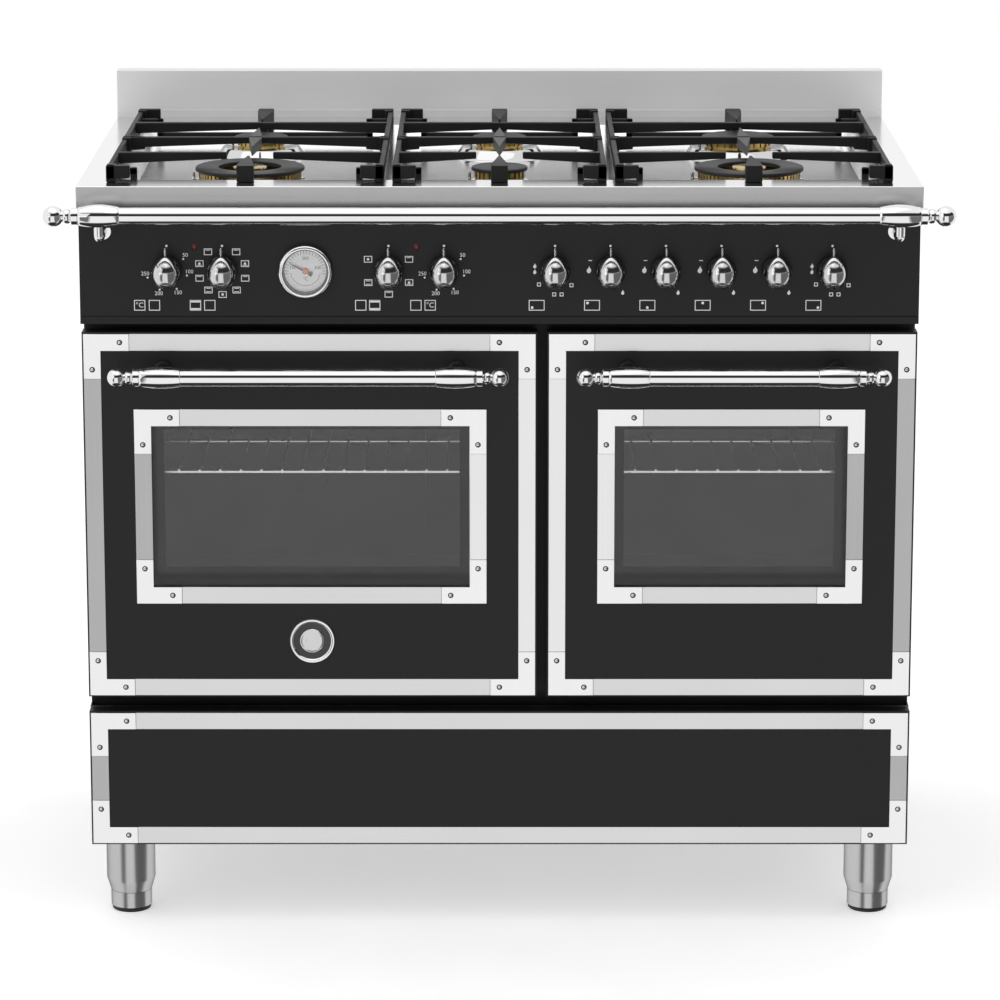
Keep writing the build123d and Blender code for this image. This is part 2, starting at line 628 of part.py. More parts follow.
# Doors: outer pan, inner liner, two panes, trim, handle and hinges
for door_name, door in DOORS:
    door_z = (DOOR_FOOT, DOOR_TOP)
    window_x = window_span(door)
    liner_y = (FACE_Y + DOOR_RETURN, FACE_Y + DOOR_DEPTH)
    handle_length = door[1] - door[0] - 2 * HANDLE_SIDE
    post_places = inset(inset(door, HANDLE_SIDE), BARREL_OFFSET + BARREL_LENGTH / 2)

    with BuildPart() as door_panel:
        block(door, (FACE_Y, FACE_Y + DOOR_RETURN), door_z)
        pan_y = (FACE_Y + SHEET, FACE_Y + DOOR_RETURN)
        block(inset(door, SHEET), pan_y, inset(door_z, SHEET), Mode.SUBTRACT)
        block(window_x, (FACE_Y, FACE_Y + SHEET), WINDOW_Z, Mode.SUBTRACT)
        for hinge_x in hinge_places(door):
            notch_x = spread(hinge_x, HINGE_WIDTH / 2 + HINGE_ROOM)
            notch_y = (PIVOT_Y - HINGE_KNUCKLE / 2 - HINGE_ROOM, FACE_Y + DOOR_RETURN)
            block(notch_x, notch_y, (DOOR_FOOT, DOOR_FOOT + SHEET), Mode.SUBTRACT)
    save(door_panel.part, f"door_{door_name}_panel")

    liner_window_x = inset(window_x, LINER_WINDOW_SIDE)
    liner_window_z = (WINDOW_Z[0] + LINER_WINDOW_FOOT, WINDOW_Z[1] - LINER_WINDOW_SIDE)
    with BuildPart() as door_liner:
        plug_x = inset(door, LINER_INSET)
        plug_z = inset(door_z, LINER_INSET)
        block(door, (liner_y[0], liner_y[0] + LINER_WALL), door_z)
        block(plug_x, liner_y, plug_z)
        hollow_y = (liner_y[0], liner_y[1] - LINER_WALL)
        block(inset(plug_x, LINER_WALL), hollow_y, inset(plug_z, LINER_WALL), Mode.SUBTRACT)
        block(liner_window_x, liner_y, liner_window_z, Mode.SUBTRACT)
        for hinge_x in hinge_places(door):
            notch_x = spread(hinge_x, HINGE_WIDTH / 2 + FIT_GAP + CHEEK + HINGE_ROOM)
            notch_z = (DOOR_FOOT, PIVOT_Z + HINGE_KNUCKLE / 2 + HINGE_ROOM)
            block(notch_x, (liner_y[0], liner_y[0] + LINER_WALL), notch_z, Mode.SUBTRACT)
    save(door_liner.part, f"door_{door_name}_liner")

    with BuildPart() as door_glass:
        outer_pane_z = inset(WINDOW_Z, -GLASS_LAP)
        block(inset(window_x, -GLASS_LAP), (FACE_Y + SHEET, FACE_Y + SHEET + GLASS), outer_pane_z)
        inner_pane_y = (liner_y[1] - LINER_WALL - GLASS, liner_y[1] - LINER_WALL)
        block(inset(liner_window_x, -GLASS_LAP), inner_pane_y, inset(liner_window_z, -GLASS_LAP))
    save(door_glass.part, f"door_{door_name}_glass")

    edge_trim = make_trim(inset(door, TRIM_INSET), inset(door_z, TRIM_INSET), TRIM_BAND)
    window_trim = make_trim(inset(window_x, -TRIM_BAND), inset(WINDOW_Z, -TRIM_BAND), TRIM_BAND)
    save_group(edge_trim + window_trim, f"door_{door_name}_trim")

    with BuildPart() as door_handle:
        with Locations((door[0] + HANDLE_SIDE, FACE_Y - HANDLE_REACH, HANDLE_Z)):
            add(turned_bar(handle_length, HANDLE_BAR, HANDLE_BARREL, HANDLE_BALL, BARREL_OFFSET))
        for post_x in post_places:
            rod((post_x, FACE_Y - HANDLE_REACH, HANDLE_Z), (0, 1, 0), HANDLE_POST, HANDLE_REACH)
            rod((post_x, FACE_Y - STRAP, HANDLE_Z), (0, 1, 0), POST_FLANGE, STRAP)
    save(door_handle.part, f"door_{door_name}_handle")

    with BuildPart() as door_hinges:
        for hinge_x in hinge_places(door):
            cheek_in = HINGE_WIDTH / 2 + FIT_GAP
            strap_end = PIVOT_Y - HINGE_KNUCKLE / 2 - HINGE_ROOM
            strap_y = (strap_end - STRAP, strap_end)
            foot_z = DOOR_FOOT + SHEET
            block(spread(hinge_x, cheek_in + CHEEK), strap_y, (foot_z, foot_z + STRAP_HEIGHT))
            for side in (-1, 1):
                cheek_x = sorted((hinge_x + side * cheek_in, hinge_x + side * (cheek_in + CHEEK)))
                cheek_z = (PIVOT_Z - HINGE_PIN, PIVOT_Z + HINGE_KNUCKLE / 2)
                cheek_end = min(PIVOT_Y + HINGE_PIN, liner_y[0])
                block(cheek_x, (strap_y[0], cheek_end), cheek_z)
            pin_start = (hinge_x - cheek_in - CHEEK, PIVOT_Y, PIVOT_Z)
            rod(pin_start, (1, 0, 0), HINGE_PIN, 2 * (cheek_in + CHEEK))
    save(door_hinges.part, f"door_{door_name}_hinges")

# Drawer under the ovens
with BuildPart() as drawer_front:
    block(DRAWER_X, (FACE_Y, FACE_Y + DRAWER_FRONT), DRAWER_Z)
    pan_y = (FACE_Y + SHEET, FACE_Y + DRAWER_FRONT)
    block(inset(DRAWER_X, SHEET), pan_y, inset(DRAWER_Z, SHEET), Mode.SUBTRACT)
save(drawer_front.part, "drawer_front")

with BuildPart() as drawer_box:
    box_x = spread(0, DRAWER_BOX_WIDTH / 2)
    backing = (DRAWER_BOX_Y[0], DRAWER_BOX_Y[0] + DRAWER_BOX_SHEET)
    block(DRAWER_X, backing, DRAWER_Z)
    block(box_x, DRAWER_BOX_Y, DRAWER_BOX_Z)
    hollow_z = (DRAWER_BOX_Z[0] + DRAWER_BOX_SHEET, DRAWER_BOX_Z[1])
    block(inset(box_x, DRAWER_BOX_SHEET), inset(DRAWER_BOX_Y, DRAWER_BOX_SHEET), hollow_z, Mode.SUBTRACT)
    for side in (-1, 1):
        runner_x = sorted((side * DRAWER_BOX_WIDTH / 2, side * (DRAWER_BOX_WIDTH / 2 + RUNNER_DEPTH)))
        block(runner_x, (backing[1], DRAWER_BOX_Y[1]), spread(RUNNER_Z, RUNNER_HEIGHT / 2))
save(drawer_box.part, "drawer_box")
save_group(make_trim(inset(DRAWER_X, TRIM_INSET), inset(DRAWER_Z, TRIM_INSET), TRIM_BAND), "drawer_trim")

# Oven fittings
with BuildPart() as door_seals:
    for door_name, door in DOORS:
        seal_x = inset(cavity_span(door), -SEAL_WIDTH)
        loop(seal_x, inset(CAVITY_Z, -SEAL_WIDTH), (FRAME_Y - SEAL_GAP + FIT_GAP, FRAME_Y), SEAL_WIDTH)
save(door_seals.part, "door_seals")

rail_inset = FIT_GAP + LADDER_WIRE + RAIL_WIRE / 2 - LADDER_BITE
level_heights = [CAVITY_Z[0] + LADDER_FOOT + level * RAIL_PITCH for level in range(RAIL_LEVELS)]
with BuildPart() as rack_ladders:
    for door_name, door in DOORS:
        span = cavity_span(door)
        for wall, inward in ((span[0], 1), (span[1], -1)):
            upright_x = wall + inward * (FIT_GAP + LADDER_WIRE / 2)
            for upright_y in inset((INNER_Y, CAVITY_BACK), 2 * LADDER_END):
                rod((upright_x, upright_y, CAVITY_Z[0]), (0, 0, 1), LADDER_WIRE, CAVITY_HEIGHT)
            for low in level_heights:
                for height in (low, low + RAIL_PAIR):
                    start = (wall + inward * rail_inset, INNER_Y + LADDER_END, height)
                    rod(start, (0, 1, 0), RAIL_WIRE, CAVITY_DEPTH - 2 * LADDER_END)
save(rack_ladders.part, "rack_ladders")

rack_inset = LADDER_WIRE + 3 * FIT_GAP + RACK_ROD / 2
rack_z = level_heights[RACK_LEVEL] + RAIL_WIRE / 2 + FIT_GAP + RACK_ROD / 2
rack_y = INNER_Y + RACK_FRONT_GAP
for door_name, door in DOORS:
    rack_x = inset(cavity_span(door), rack_inset)
    rack_width = rack_x[1] - rack_x[0]
    wires = int(rack_width / RACK_PITCH)
    with BuildPart() as rack:
        for rod_x in rack_x:
            rod((rod_x, rack_y, rack_z), (0, 1, 0), RACK_ROD, RACK_DEPTH)
        for bar in range(RACK_BARS):
            bar_y = rack_y + RACK_ROD / 2 + bar * (RACK_DEPTH - RACK_ROD) / (RACK_BARS - 1)
            rod((rack_x[0], bar_y, rack_z), (1, 0, 0), RACK_ROD - LADDER_BITE, rack_width)
        for wire in range(wires):
            wire_x = (rack_x[0] + rack_x[1]) / 2 + (wire - (wires - 1) / 2) * RACK_PITCH
            rod((wire_x, rack_y, rack_z + RACK_ROD / 3), (0, 1, 0), RACK_WIRE, RACK_DEPTH)
    save(rack.part, f"rack_{door_name}")

with BuildPart() as heating_elements:
    for door_name, door in DOORS:
        leg_x = inset(cavity_span(door), ELEMENT_SIDE)
        element_z = CAVITY_Z[1] - ELEMENT_DROP
        front = INNER_Y + ELEMENT_FRONT
        corners = (
            (leg_x[0], CAVITY_BACK, element_z),
            (leg_x[0], front, element_z),
            (leg_x[1], front, element_z),
            (leg_x[1], CAVITY_BACK, element_z),
        )
        with BuildLine(mode=Mode.PRIVATE) as hairpin:
            FilletPolyline(*corners, radius=ELEMENT_BEND)
        with BuildSketch(Plane(origin=corners[0], z_dir=(0, -1, 0)), mode=Mode.PRIVATE) as section:
            Circle(ELEMENT_ROD / 2)
        sweep(sections=section.sketch, path=hairpin.line)
save(heating_elements.part, "heating_elements")

with BuildPart() as fan_cover:
    cover_x = spread(FAN_X, FAN_COVER_WIDTH / 2)
    cover_z = spread(FAN_Z, FAN_COVER_WIDTH / 2)
    cover_y = (CAVITY_BACK - FAN_COVER_GAP, CAVITY_BACK)
    block(cover_x, cover_y, cover_z)
    block(inset(cover_x, SHEET), (cover_y[0] + SHEET, cover_y[1]), inset(cover_z, SHEET), Mode.SUBTRACT)
    with Locations(Plane(origin=(FAN_X, cover_y[0], FAN_Z), z_dir=(0, 1, 0))):
        with PolarLocations(COVER_RING, COVER_HOLES):
            Cylinder(COVER_HOLE / 2, 2 * SHEET, align=CENTRED, mode=Mode.SUBTRACT)
save(fan_cover.part, "fan_cover")

fan_y = (CAVITY_BACK - FAN_STAND - FAN_DEPTH, CAVITY_BACK - FAN_STAND)
with BuildPart() as oven_fan:
    rod((FAN_X, fan_y[1] - BLADE_SHEET, FAN_Z), (0, 1, 0), FAN_DIAMETER, BLADE_SHEET)
    rod((FAN_X, fan_y[0], FAN_Z), (0, 1, 0), FAN_HUB, FAN_DEPTH)
    rod((FAN_X, fan_y[0], FAN_Z), (0, 1, 0), FAN_SHAFT, FAN_DEPTH + FAN_STAND + MOTOR_DEPTH / 2)
    with Locations(Plane(origin=(FAN_X, fan_y[0], FAN_Z), z_dir=(0, 1, 0))):
        with PolarLocations((FAN_DIAMETER + FAN_HUB) / 4 - BLADE_SHEET, FAN_BLADES):
            Box((FAN_DIAMETER - FAN_HUB) / 2, BLADE_SHEET, FAN_DEPTH, align=FROM_BELOW)
save(oven_fan.part, "oven_fan")

# Behind the control panel
with BuildPart() as oven_switches:
    for name, step in OVEN_KNOBS:
        centre_x = step * KNOB_PITCH
        switch_z = spread(KNOB_Z, SWITCH_SIZE / 2)
        block(spread(centre_x, SWITCH_SIZE / 2), (BEHIND_PANEL, BEHIND_PANEL + SWITCH_DEPTH), switch_z)
        rod((centre_x, BEHIND_PANEL, KNOB_Z), (0, 1, 0), SPINDLE_BORE, SWITCH_DEPTH, Mode.SUBTRACT)
save(oven_switches.part, "oven_switches")

manifold_y = BEHIND_PANEL + TAP_DEPTH + MANIFOLD / 2
manifold_x = (GAS_KNOBS[0] * KNOB_PITCH - TAP_DIAMETER, INLET_X)
with BuildPart() as gas_manifold:
    rod((manifold_x[0], manifold_y, KNOB_Z), (1, 0, 0), MANIFOLD, manifold_x[1] - manifold_x[0])
    feed_start = manifold_y - MANIFOLD / 2
    rod((INLET_X, feed_start, KNOB_Z), (0, 1, 0), MANIFOLD, BACK_Y - feed_start)
    rod((INLET_X, BACK_Y - INLET_LENGTH, KNOB_Z), (0, 1, 0), GAS_INLET, INLET_LENGTH)
    rod((INLET_X, BACK_Y - INLET_LENGTH, KNOB_Z), (0, 1, 0), INLET_BORE, INLET_LENGTH, Mode.SUBTRACT)
    for step in GAS_KNOBS:
        tap = (step * KNOB_PITCH, BEHIND_PANEL, KNOB_Z)
        rod(tap, (0, 1, 0), TAP_DIAMETER, TAP_DEPTH + MANIFOLD / 2)
    for step in GAS_KNOBS:
        tap = (step * KNOB_PITCH, BEHIND_PANEL, KNOB_Z)
        rod(tap, (0, 1, 0), SPINDLE_BORE, TAP_DEPTH, Mode.SUBTRACT)
save(gas_manifold.part, "gas_manifold")

# Burners: a cone that carries the crown, and a cap on the crown


def ring(centre, outer, inner, height):
    """A flat-ended tube standing on a point."""
    rod(centre, (0, 0, 1), outer, height)
    rod(centre, (0, 0, 1), inner, height, Mode.SUBTRACT)


with BuildPart() as burner_bases:
    for burner_x, behind, cap, (foot_margin, top_margin, bowl_height) in BURNERS:
        centre = (burner_x, HOB_FRONT + behind, WELL_FLOOR)
        with Locations(centre):
            Cone(cap / 2 + foot_margin, cap / 2 + top_margin, bowl_height, align=FROM_BELOW)
        rod(centre, (0, 0, -1), BASE_NECK - 2 * FIT_GAP, NECK_LENGTH)
        electrode = (burner_x - cap / 2 - ELECTRODE / 2 - FIT_GAP, centre[1], WELL_FLOOR + bowl_height / 2)
        rod(electrode, (0, 0, 1), ELECTRODE, ELECTRODE_HEIGHT)
save(burner_bases.part, "burner_bases")


def crown(foot, outer, inner):
    """A slotted ring of flame ports standing on a point."""
    with BuildPart() as ports:
        ring(foot, outer, inner, CROWN_TOP - foot[2])
        with Locations((foot[0], foot[1], CROWN_TOP - SLOT_HEIGHT)):
            with PolarLocations(outer / 2, CROWN_SLOTS):
                Box(SLOT_DEPTH, SLOT_WIDTH, SLOT_HEIGHT, align=FROM_BELOW, mode=Mode.SUBTRACT)
    return ports.part


crowns = []
for burner_x, behind, cap, bowl in BURNERS:
    foot = (burner_x, HOB_FRONT + behind, WELL_FLOOR + bowl[2])
    outer = cap - 2 * CROWN_INSET
    if cap == DUAL_CAP:
        crowns.append(crown(foot, outer, DUAL_HOLE + 2 * CROWN_INSET))
        outer = DUAL_INNER - CROWN_INSET
    crowns.append(crown(foot, outer, outer - 2 * CROWN_WALL))
save_group(crowns, "burner_crowns")

with BuildPart() as burner_caps:
    for burner_x, behind, cap, bowl in BURNERS:
        centre = (burner_x, HOB_FRONT + behind, CROWN_TOP)
        rod(centre, (0, 0, 1), cap, CAP_HEIGHT)
        if cap == DUAL_CAP:
            rod(centre, (0, 0, 1), DUAL_HOLE, CAP_HEIGHT, Mode.SUBTRACT)
            rod(centre, (0, 0, 1), DUAL_INNER, CAP_HEIGHT)
    fillet(burner_caps.edges().group_by(Axis.Z)[-1], radius=CAP_ROUND)
save(burner_caps.part, "burner_caps")

# Cast grates: side rails, a cross bar with a diamond, fingers towards the burners, feet and low ties
grate_y = (HOB_FRONT + GRATE_FRONT, HOB_FRONT + GRATE_FRONT + GRATE_DEPTH)
grate_middle = HOB_FRONT + (BURNER_FRONT + BURNER_REAR) / 2
link_top = GRATE_Z[1] - LINK_DROP
tie_z = (WELL_FLOOR + TIE_HEIGHT + FIT_GAP, WELL_FLOOR + 2 * TIE_HEIGHT + FIT_GAP)


def wedge(start, end, root, tip, z):
    """A bar between two points in plan, tapering from its root's width to its tip's."""
    along = Vector(end[0] - start[0], end[1] - start[1], 0)
    across = Vector(-along.Y, along.X, 0).normalized()
    first = Vector(start[0], start[1], 0)
    last = Vector(end[0], end[1], 0)
    outline = (
        first + across * (root / 2),
        last + across * (tip / 2),
        last - across * (tip / 2),
        first - across * (root / 2),
    )
    with BuildSketch(Plane.XY.offset(z[0]), mode=Mode.PRIVATE) as plan:
        with BuildLine():
            Polyline(*[(point.X, point.Y) for point in outline], close=True)
        make_face()
    extrude(plan.sketch, amount=z[1] - z[0])


def make_grate(x):
    """One grate between two sides, over a front and a rear burner."""
    middle = (x[0] + x[1]) / 2
    top = GRATE_Z[1]
    with BuildPart() as grate:
        for rail_x in ((x[0], x[0] + GRATE_BAR), (x[1] - GRATE_BAR, x[1])):
            block(rail_x, grate_y, GRATE_Z)
            for foot_y in (grate_y[0], grate_y[1] - GRATE_FOOT):
                block(rail_x, (foot_y, foot_y + GRATE_FOOT), (FOOT_Z, top))
            block(rail_x, spread(grate_middle, GRATE_FOOT / 2), (FOOT_Z, top))
        for edge, inward in ((x[0], 1), (x[1], -1)):
            stub_x = sorted((edge, edge + inward * GRATE_STUB))
            for stub_y in (grate_y[0], grate_y[1] - GRATE_FOOT / 2, grate_middle - GRATE_FOOT / 4):
                block(stub_x, (stub_y, stub_y + GRATE_FOOT / 2), (top - STUB_HEIGHT, top))
            for behind, gap in ((BURNER_FRONT, FINGER_GAP), (BURNER_REAR, 0.0)):
                burner_y = HOB_FRONT + behind
                wedge((edge, burner_y), (middle - inward * gap, burner_y), GRATE_BAR, FINGER_TIP, GRATE_Z)
        block(x, spread(grate_middle, GRATE_BAR / 2), GRATE_Z)
        for point in (-1, 1):
            tip = (middle, grate_middle + point * DIAMOND_LENGTH / 2)
            wedge((middle, grate_middle), tip, DIAMOND_WIDTH, DIAMOND_TIP, GRATE_Z)
        for end, burner, inward in ((grate_y[0], BURNER_FRONT, 1), (grate_y[1], BURNER_REAR, -1)):
            foot_y = sorted((end, end + inward * GRATE_FOOT))
            block(spread(middle, GRATE_FOOT / 2), foot_y, (FOOT_Z, top))
            tip_y = HOB_FRONT + burner - inward * FINGER_GAP
            wedge((middle, end + inward * GRATE_FOOT), (middle, tip_y), GRATE_FOOT, POINT_TIP, GRATE_Z)
            tie_y = sorted((end + inward * TIE_INSET, end + inward * (TIE_INSET + TIE_BAR)))
            block(inset(x, TIE_SIDE), tie_y, tie_z)
            block(spread(middle, TIE_BAR / 2), tie_y, (tie_z[0], top))
            for edge, across in ((x[0], 1), (x[1], -1)):
                link_x = sorted((edge, edge + across * (TIE_SIDE + TIE_BAR)))
                post_x = sorted((edge + across * TIE_SIDE, edge + across * (TIE_SIDE + TIE_BAR)))
                block(link_x, tie_y, (link_top - TIE_BAR, link_top))
                block(post_x, tie_y, (tie_z[0], link_top))
    return grate.part


half_centre = GRATE_CENTRE_WIDTH / 2
side_low = half_centre + GRATE_SPACING
GRATES = (
    ("left", (-side_low - GRATE_SIDE_WIDTH, -side_low)),
    ("centre", (-half_centre, half_centre)),
    ("right", (side_low, side_low + GRATE_SIDE_WIDTH)),
)
for name, span in GRATES:
    save(make_grate(span), f"grate_{name}")

# Knobs: a pear-shaped grip with a nib on top, a hub and a skirt


def knob_grip(centre_x):
    """Grip, hub and skirt of one knob, added to the piece being built."""
    middle = (centre_x, KNOB_MIDDLE, KNOB_Z)
    radius = KNOB_WIDTH / 2
    front = Plane(origin=middle, x_dir=(1, 0, 0), z_dir=(0, -1, 0))
    with BuildSketch(front, mode=Mode.PRIVATE) as pear:
        with BuildLine():
            bottom = KNOB_SPAN[0]
            tip = KNOB_SPAN[1]
            ThreePointArc((0, bottom), (radius * PEAR_FOOT[0], bottom * PEAR_FOOT[1]), (radius, 0))
            shoulder = (radius * PEAR_SHOULDER[0], tip * PEAR_SHOULDER[1])
            Spline((radius, 0), shoulder, (NIB_WIDTH / 2, tip), tangents=((0, 1), PEAR_LEAN))
            Polyline((NIB_WIDTH / 2, tip), (NIB_WIDTH / 3, tip + KNOB_NIB), (0, tip + KNOB_NIB), (0, bottom))
        make_face()
    revolve(pear.sketch, axis=Axis(middle, (0, 0, 1)))
    rod((centre_x, KNOB_SEAT, KNOB_Z), (0, -1, 0), KNOB_SKIRT, KNOB_SKIRT_DEPTH)
    rod((centre_x, KNOB_SEAT, KNOB_Z), (0, -1, 0), KNOB_HUB, KNOB_SEAT - KNOB_MIDDLE)


for name, step in OVEN_KNOBS:
    with BuildPart() as oven_knob:
        knob_grip(step * KNOB_PITCH)
        spindle_length = BEHIND_PANEL + SPINDLE_DEPTH - KNOB_MIDDLE
        rod((step * KNOB_PITCH, KNOB_MIDDLE, KNOB_Z), (0, 1, 0), SPINDLE, spindle_length)
    save(oven_knob.part, f"knob_{name}")

for step in GAS_KNOBS:
    centre_x = step * KNOB_PITCH
    with BuildPart() as gas_spindle:
        tip = KNOB_SEAT - KNOB_SOCKET + PUSH_TRAVEL + FIT_GAP
        rod((centre_x, tip, KNOB_Z), (0, 1, 0), SPINDLE, BEHIND_PANEL + SPINDLE_DEPTH - tip)
    save(gas_spindle.part, f"gas_spindle_{step}")
    with BuildPart() as gas_knob:
        knob_grip(centre_x)
        rod((centre_x, KNOB_SEAT, KNOB_Z), (0, -1, 0), SPINDLE_BORE, KNOB_SOCKET, Mode.SUBTRACT)
    save(gas_knob.part, f"knob_gas_{step}")

# Thermometer and lamps
thermometer_x = THERMOMETER_STEP * KNOB_PITCH
bezel_y = FACE_Y - THERMOMETER_STAND
dial_y = bezel_y + DIAL_RECESS
with BuildPart() as case:
    rod((thermometer_x, bezel_y, KNOB_Z), (0, 1, 0), THERMOMETER_BEZEL, THERMOMETER_STAND)
    rod((thermometer_x, FACE_Y, KNOB_Z), (0, 1, 0), THERMOMETER_CAN - 2 * FIT_GAP, CAN_LENGTH)
    dial = THERMOMETER_BEZEL - 2 * THERMOMETER_RIM
    rod((thermometer_x, bezel_y, KNOB_Z), (0, 1, 0), dial, DIAL_RECESS, Mode.SUBTRACT)
    shaft_bore = POINTER_SHAFT + 2 * RUNNING_GAP
    rod((thermometer_x, dial_y, KNOB_Z), (0, 1, 0), shaft_bore, CAN_LENGTH / 2, Mode.SUBTRACT)
with BuildPart() as lens:
    rod((thermometer_x, bezel_y, KNOB_Z), (0, 1, 0), dial, LENS)
save_group((case.part, lens.part), "thermometer_case")

with BuildPart() as thermometer_pointer:
    pointer_y = bezel_y + DIAL_RECESS / 2
    rod((thermometer_x, pointer_y, KNOB_Z), (0, 1, 0), POINTER_HUB, POINTER_SHEET)
    rod((thermometer_x, pointer_y, KNOB_Z), (0, 1, 0), POINTER_SHAFT, DIAL_RECESS / 2 + CAN_LENGTH / 3)
    turn = math.radians(POINTER_ANGLE)
    aim = (math.cos(turn), 0, math.sin(turn))
    needle = Plane(origin=(thermometer_x, pointer_y, KNOB_Z), x_dir=aim, z_dir=(0, -1, 0))
    with BuildSketch(needle, mode=Mode.PRIVATE) as blade:
        with BuildLine():
            Polyline(
                (-POINTER_TAIL, -NEEDLE_TAIL_HALF),
                (POINTER_LENGTH, -NEEDLE_TIP_HALF),
                (POINTER_LENGTH, NEEDLE_TIP_HALF),
                (-POINTER_TAIL, NEEDLE_TAIL_HALF),
                close=True,
            )
        make_face()
    extrude(blade.sketch, amount=-POINTER_SHEET)
save(thermometer_pointer.part, "thermometer_pointer")

with BuildPart() as indicator_lamps:
    for step in LAMP_STEPS:
        lamp = (step * KNOB_PITCH, FACE_Y - LAMP_HEAD, PANEL_FOOT + LAMP_RISE)
        rod(lamp, (0, 1, 0), LAMP - 2 * FIT_GAP, LAMP_LENGTH)
save(indicator_lamps.part, "indicator_lamps")
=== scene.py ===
import math

import bmesh
import bpy
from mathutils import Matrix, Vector


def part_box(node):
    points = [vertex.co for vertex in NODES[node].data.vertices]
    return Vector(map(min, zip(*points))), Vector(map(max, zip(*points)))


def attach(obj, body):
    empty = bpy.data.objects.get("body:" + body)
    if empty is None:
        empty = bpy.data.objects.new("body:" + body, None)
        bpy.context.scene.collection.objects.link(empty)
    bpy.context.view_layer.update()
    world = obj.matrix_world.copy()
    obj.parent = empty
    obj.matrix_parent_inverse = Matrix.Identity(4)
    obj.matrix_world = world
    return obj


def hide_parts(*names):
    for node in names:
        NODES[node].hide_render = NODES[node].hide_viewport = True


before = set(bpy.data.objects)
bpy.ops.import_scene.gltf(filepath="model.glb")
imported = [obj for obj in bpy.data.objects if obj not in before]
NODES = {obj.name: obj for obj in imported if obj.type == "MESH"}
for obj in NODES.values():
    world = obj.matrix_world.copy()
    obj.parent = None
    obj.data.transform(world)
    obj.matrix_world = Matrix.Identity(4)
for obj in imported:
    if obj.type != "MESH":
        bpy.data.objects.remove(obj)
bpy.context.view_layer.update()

# Sizes are in millimetres, as in the part's source, and become metres when a mesh is made.
MM = 0.001
FACE_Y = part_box("control_panel")[0].y / MM
HOB_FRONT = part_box("hob_top")[0].y / MM
HOB_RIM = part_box("hob_top")[1].z / MM
WELL_FLOOR = HOB_RIM - 22.0
PANEL_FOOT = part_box("control_panel")[0].z / MM
KNOB_Z = PANEL_FOOT + 64.0
KNOB_PITCH = 65.7
TRIM_BAND = 20.6
DOORS = ("left", "right")
ACROSS = Vector((1, 0, 0))
INWARD = Vector((0, 1, 0))
OUTWARD = Vector((0, -1, 0))
UP = Vector((0, 0, 1))


def span(node, axis):
    """Low and high end of a CAD node along one axis, in millimetres."""
    low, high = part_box(node)
    return low[axis] / MM, high[axis] / MM


def about(middle, half):
    """Low and high end of a span about its middle."""
    return middle - half, middle + half


# Node helpers, and the shader groups shared by the finishes

TONE_START, TONE_END = 0.3, 0.7


def add_node(tree, kind, inputs, **settings):
    """A new node with its settings made and its inputs given, each a plain value or another node's output."""
    node = tree.nodes.new(kind)
    for label, value in settings.items():
        setattr(node, label, value)
    for label, value in inputs.items():
        if isinstance(value, bpy.types.NodeSocket):
            tree.links.new(value, node.inputs[label])
        else:
            node.inputs[label].default_value = value
    return node


def noise(tree, place, scale, detail, roughness=0.55):
    inputs = {"Vector": place, "Scale": scale, "Detail": detail, "Roughness": roughness}
    return add_node(tree, "ShaderNodeTexNoise", inputs).outputs["Fac"]


def to_range(tree, value, low, high, start=0.0, end=1.0):
    inputs = {"Value": value, "From Min": start, "From Max": end, "To Min": low, "To Max": high}
    return add_node(tree, "ShaderNodeMapRange", inputs).outputs["Result"]


def calculate(tree, operation, *values):
    return add_node(tree, "ShaderNodeMath", dict(enumerate(values)), operation=operation).outputs["Value"]


def vector(tree, x, y, z):
    return add_node(tree, "ShaderNodeCombineXYZ", {"X": x, "Y": y, "Z": z}).outputs["Vector"]


def new_surface_group(name, own_input, kind):
    """An empty shader group with an input of its own, two tones and the two ends of the roughness."""
    group = bpy.data.node_groups.new(name, "ShaderNodeTree")
    inputs = {"Vector": "Vector", own_input: kind, "Dark": "Color", "Light": "Color"}
    inputs |= {"Smoothest": "Float", "Roughest": "Float"}
    outputs = {"Color": "Color", "Roughness": "Float", "Height": "Float"}
    for way, sockets in (("INPUT", inputs), ("OUTPUT", outputs)):
        for label, socket in sockets.items():
            group.interface.new_socket(label, in_out=way, socket_type=f"NodeSocket{socket}")
    return group, group.nodes.new("NodeGroupInput").outputs, group.nodes.new("NodeGroupOutput").inputs


def close_surface(group, given, result, shade, shade_end, gloss, height):
    """Mix the two tones, spread the roughness and hand out the height."""
    share = to_range(group, shade, 0.0, 1.0, TONE_START, shade_end)
    tint = add_node(group, "ShaderNodeMix", {0: share, 6: given["Dark"], 7: given["Light"]}, data_type="RGBA")
    rough = to_range(group, gloss, given["Smoothest"], given["Roughest"], TONE_START, TONE_END)
    for label, source in (("Color", tint.outputs[2]), ("Roughness", rough), ("Height", height)):
        group.links.new(source, result[label])
    return group


def make_brush_marks():
    """Fine parallel scratches along one direction, with broad cloudy tone over them."""
    group, given, result = new_surface_group("brush_marks", "Stretch", "Vector")
    factors = {0: given["Vector"], 1: given["Stretch"]}
    stretched = add_node(group, "ShaderNodeVectorMath", factors, operation="MULTIPLY").outputs["Vector"]
    lines = noise(group, stretched, 1.0, 4.0, 0.7)
    cloud = noise(group, given["Vector"], 5.0, 2.0)
    both = calculate(group, "MULTIPLY_ADD", lines, 0.6, to_range(group, cloud, 0.0, 0.4))
    return close_surface(group, given, result, both, 0.75, lines, lines)


def make_fine_grain():
    """Small bumps of a sprayed or cast surface, with a slow drift of tone and gloss."""
    group, given, result = new_surface_group("fine_grain", "Grain Scale", "Float")
    grain = noise(group, given["Vector"], given["Grain Scale"], 3.0)
    drift = noise(group, given["Vector"], 7.0, 3.0)
    return close_surface(group, given, result, drift, TONE_END, drift, grain)


BRUSH_MARKS = make_brush_marks()
FINE_GRAIN = make_fine_grain()


# Finishes


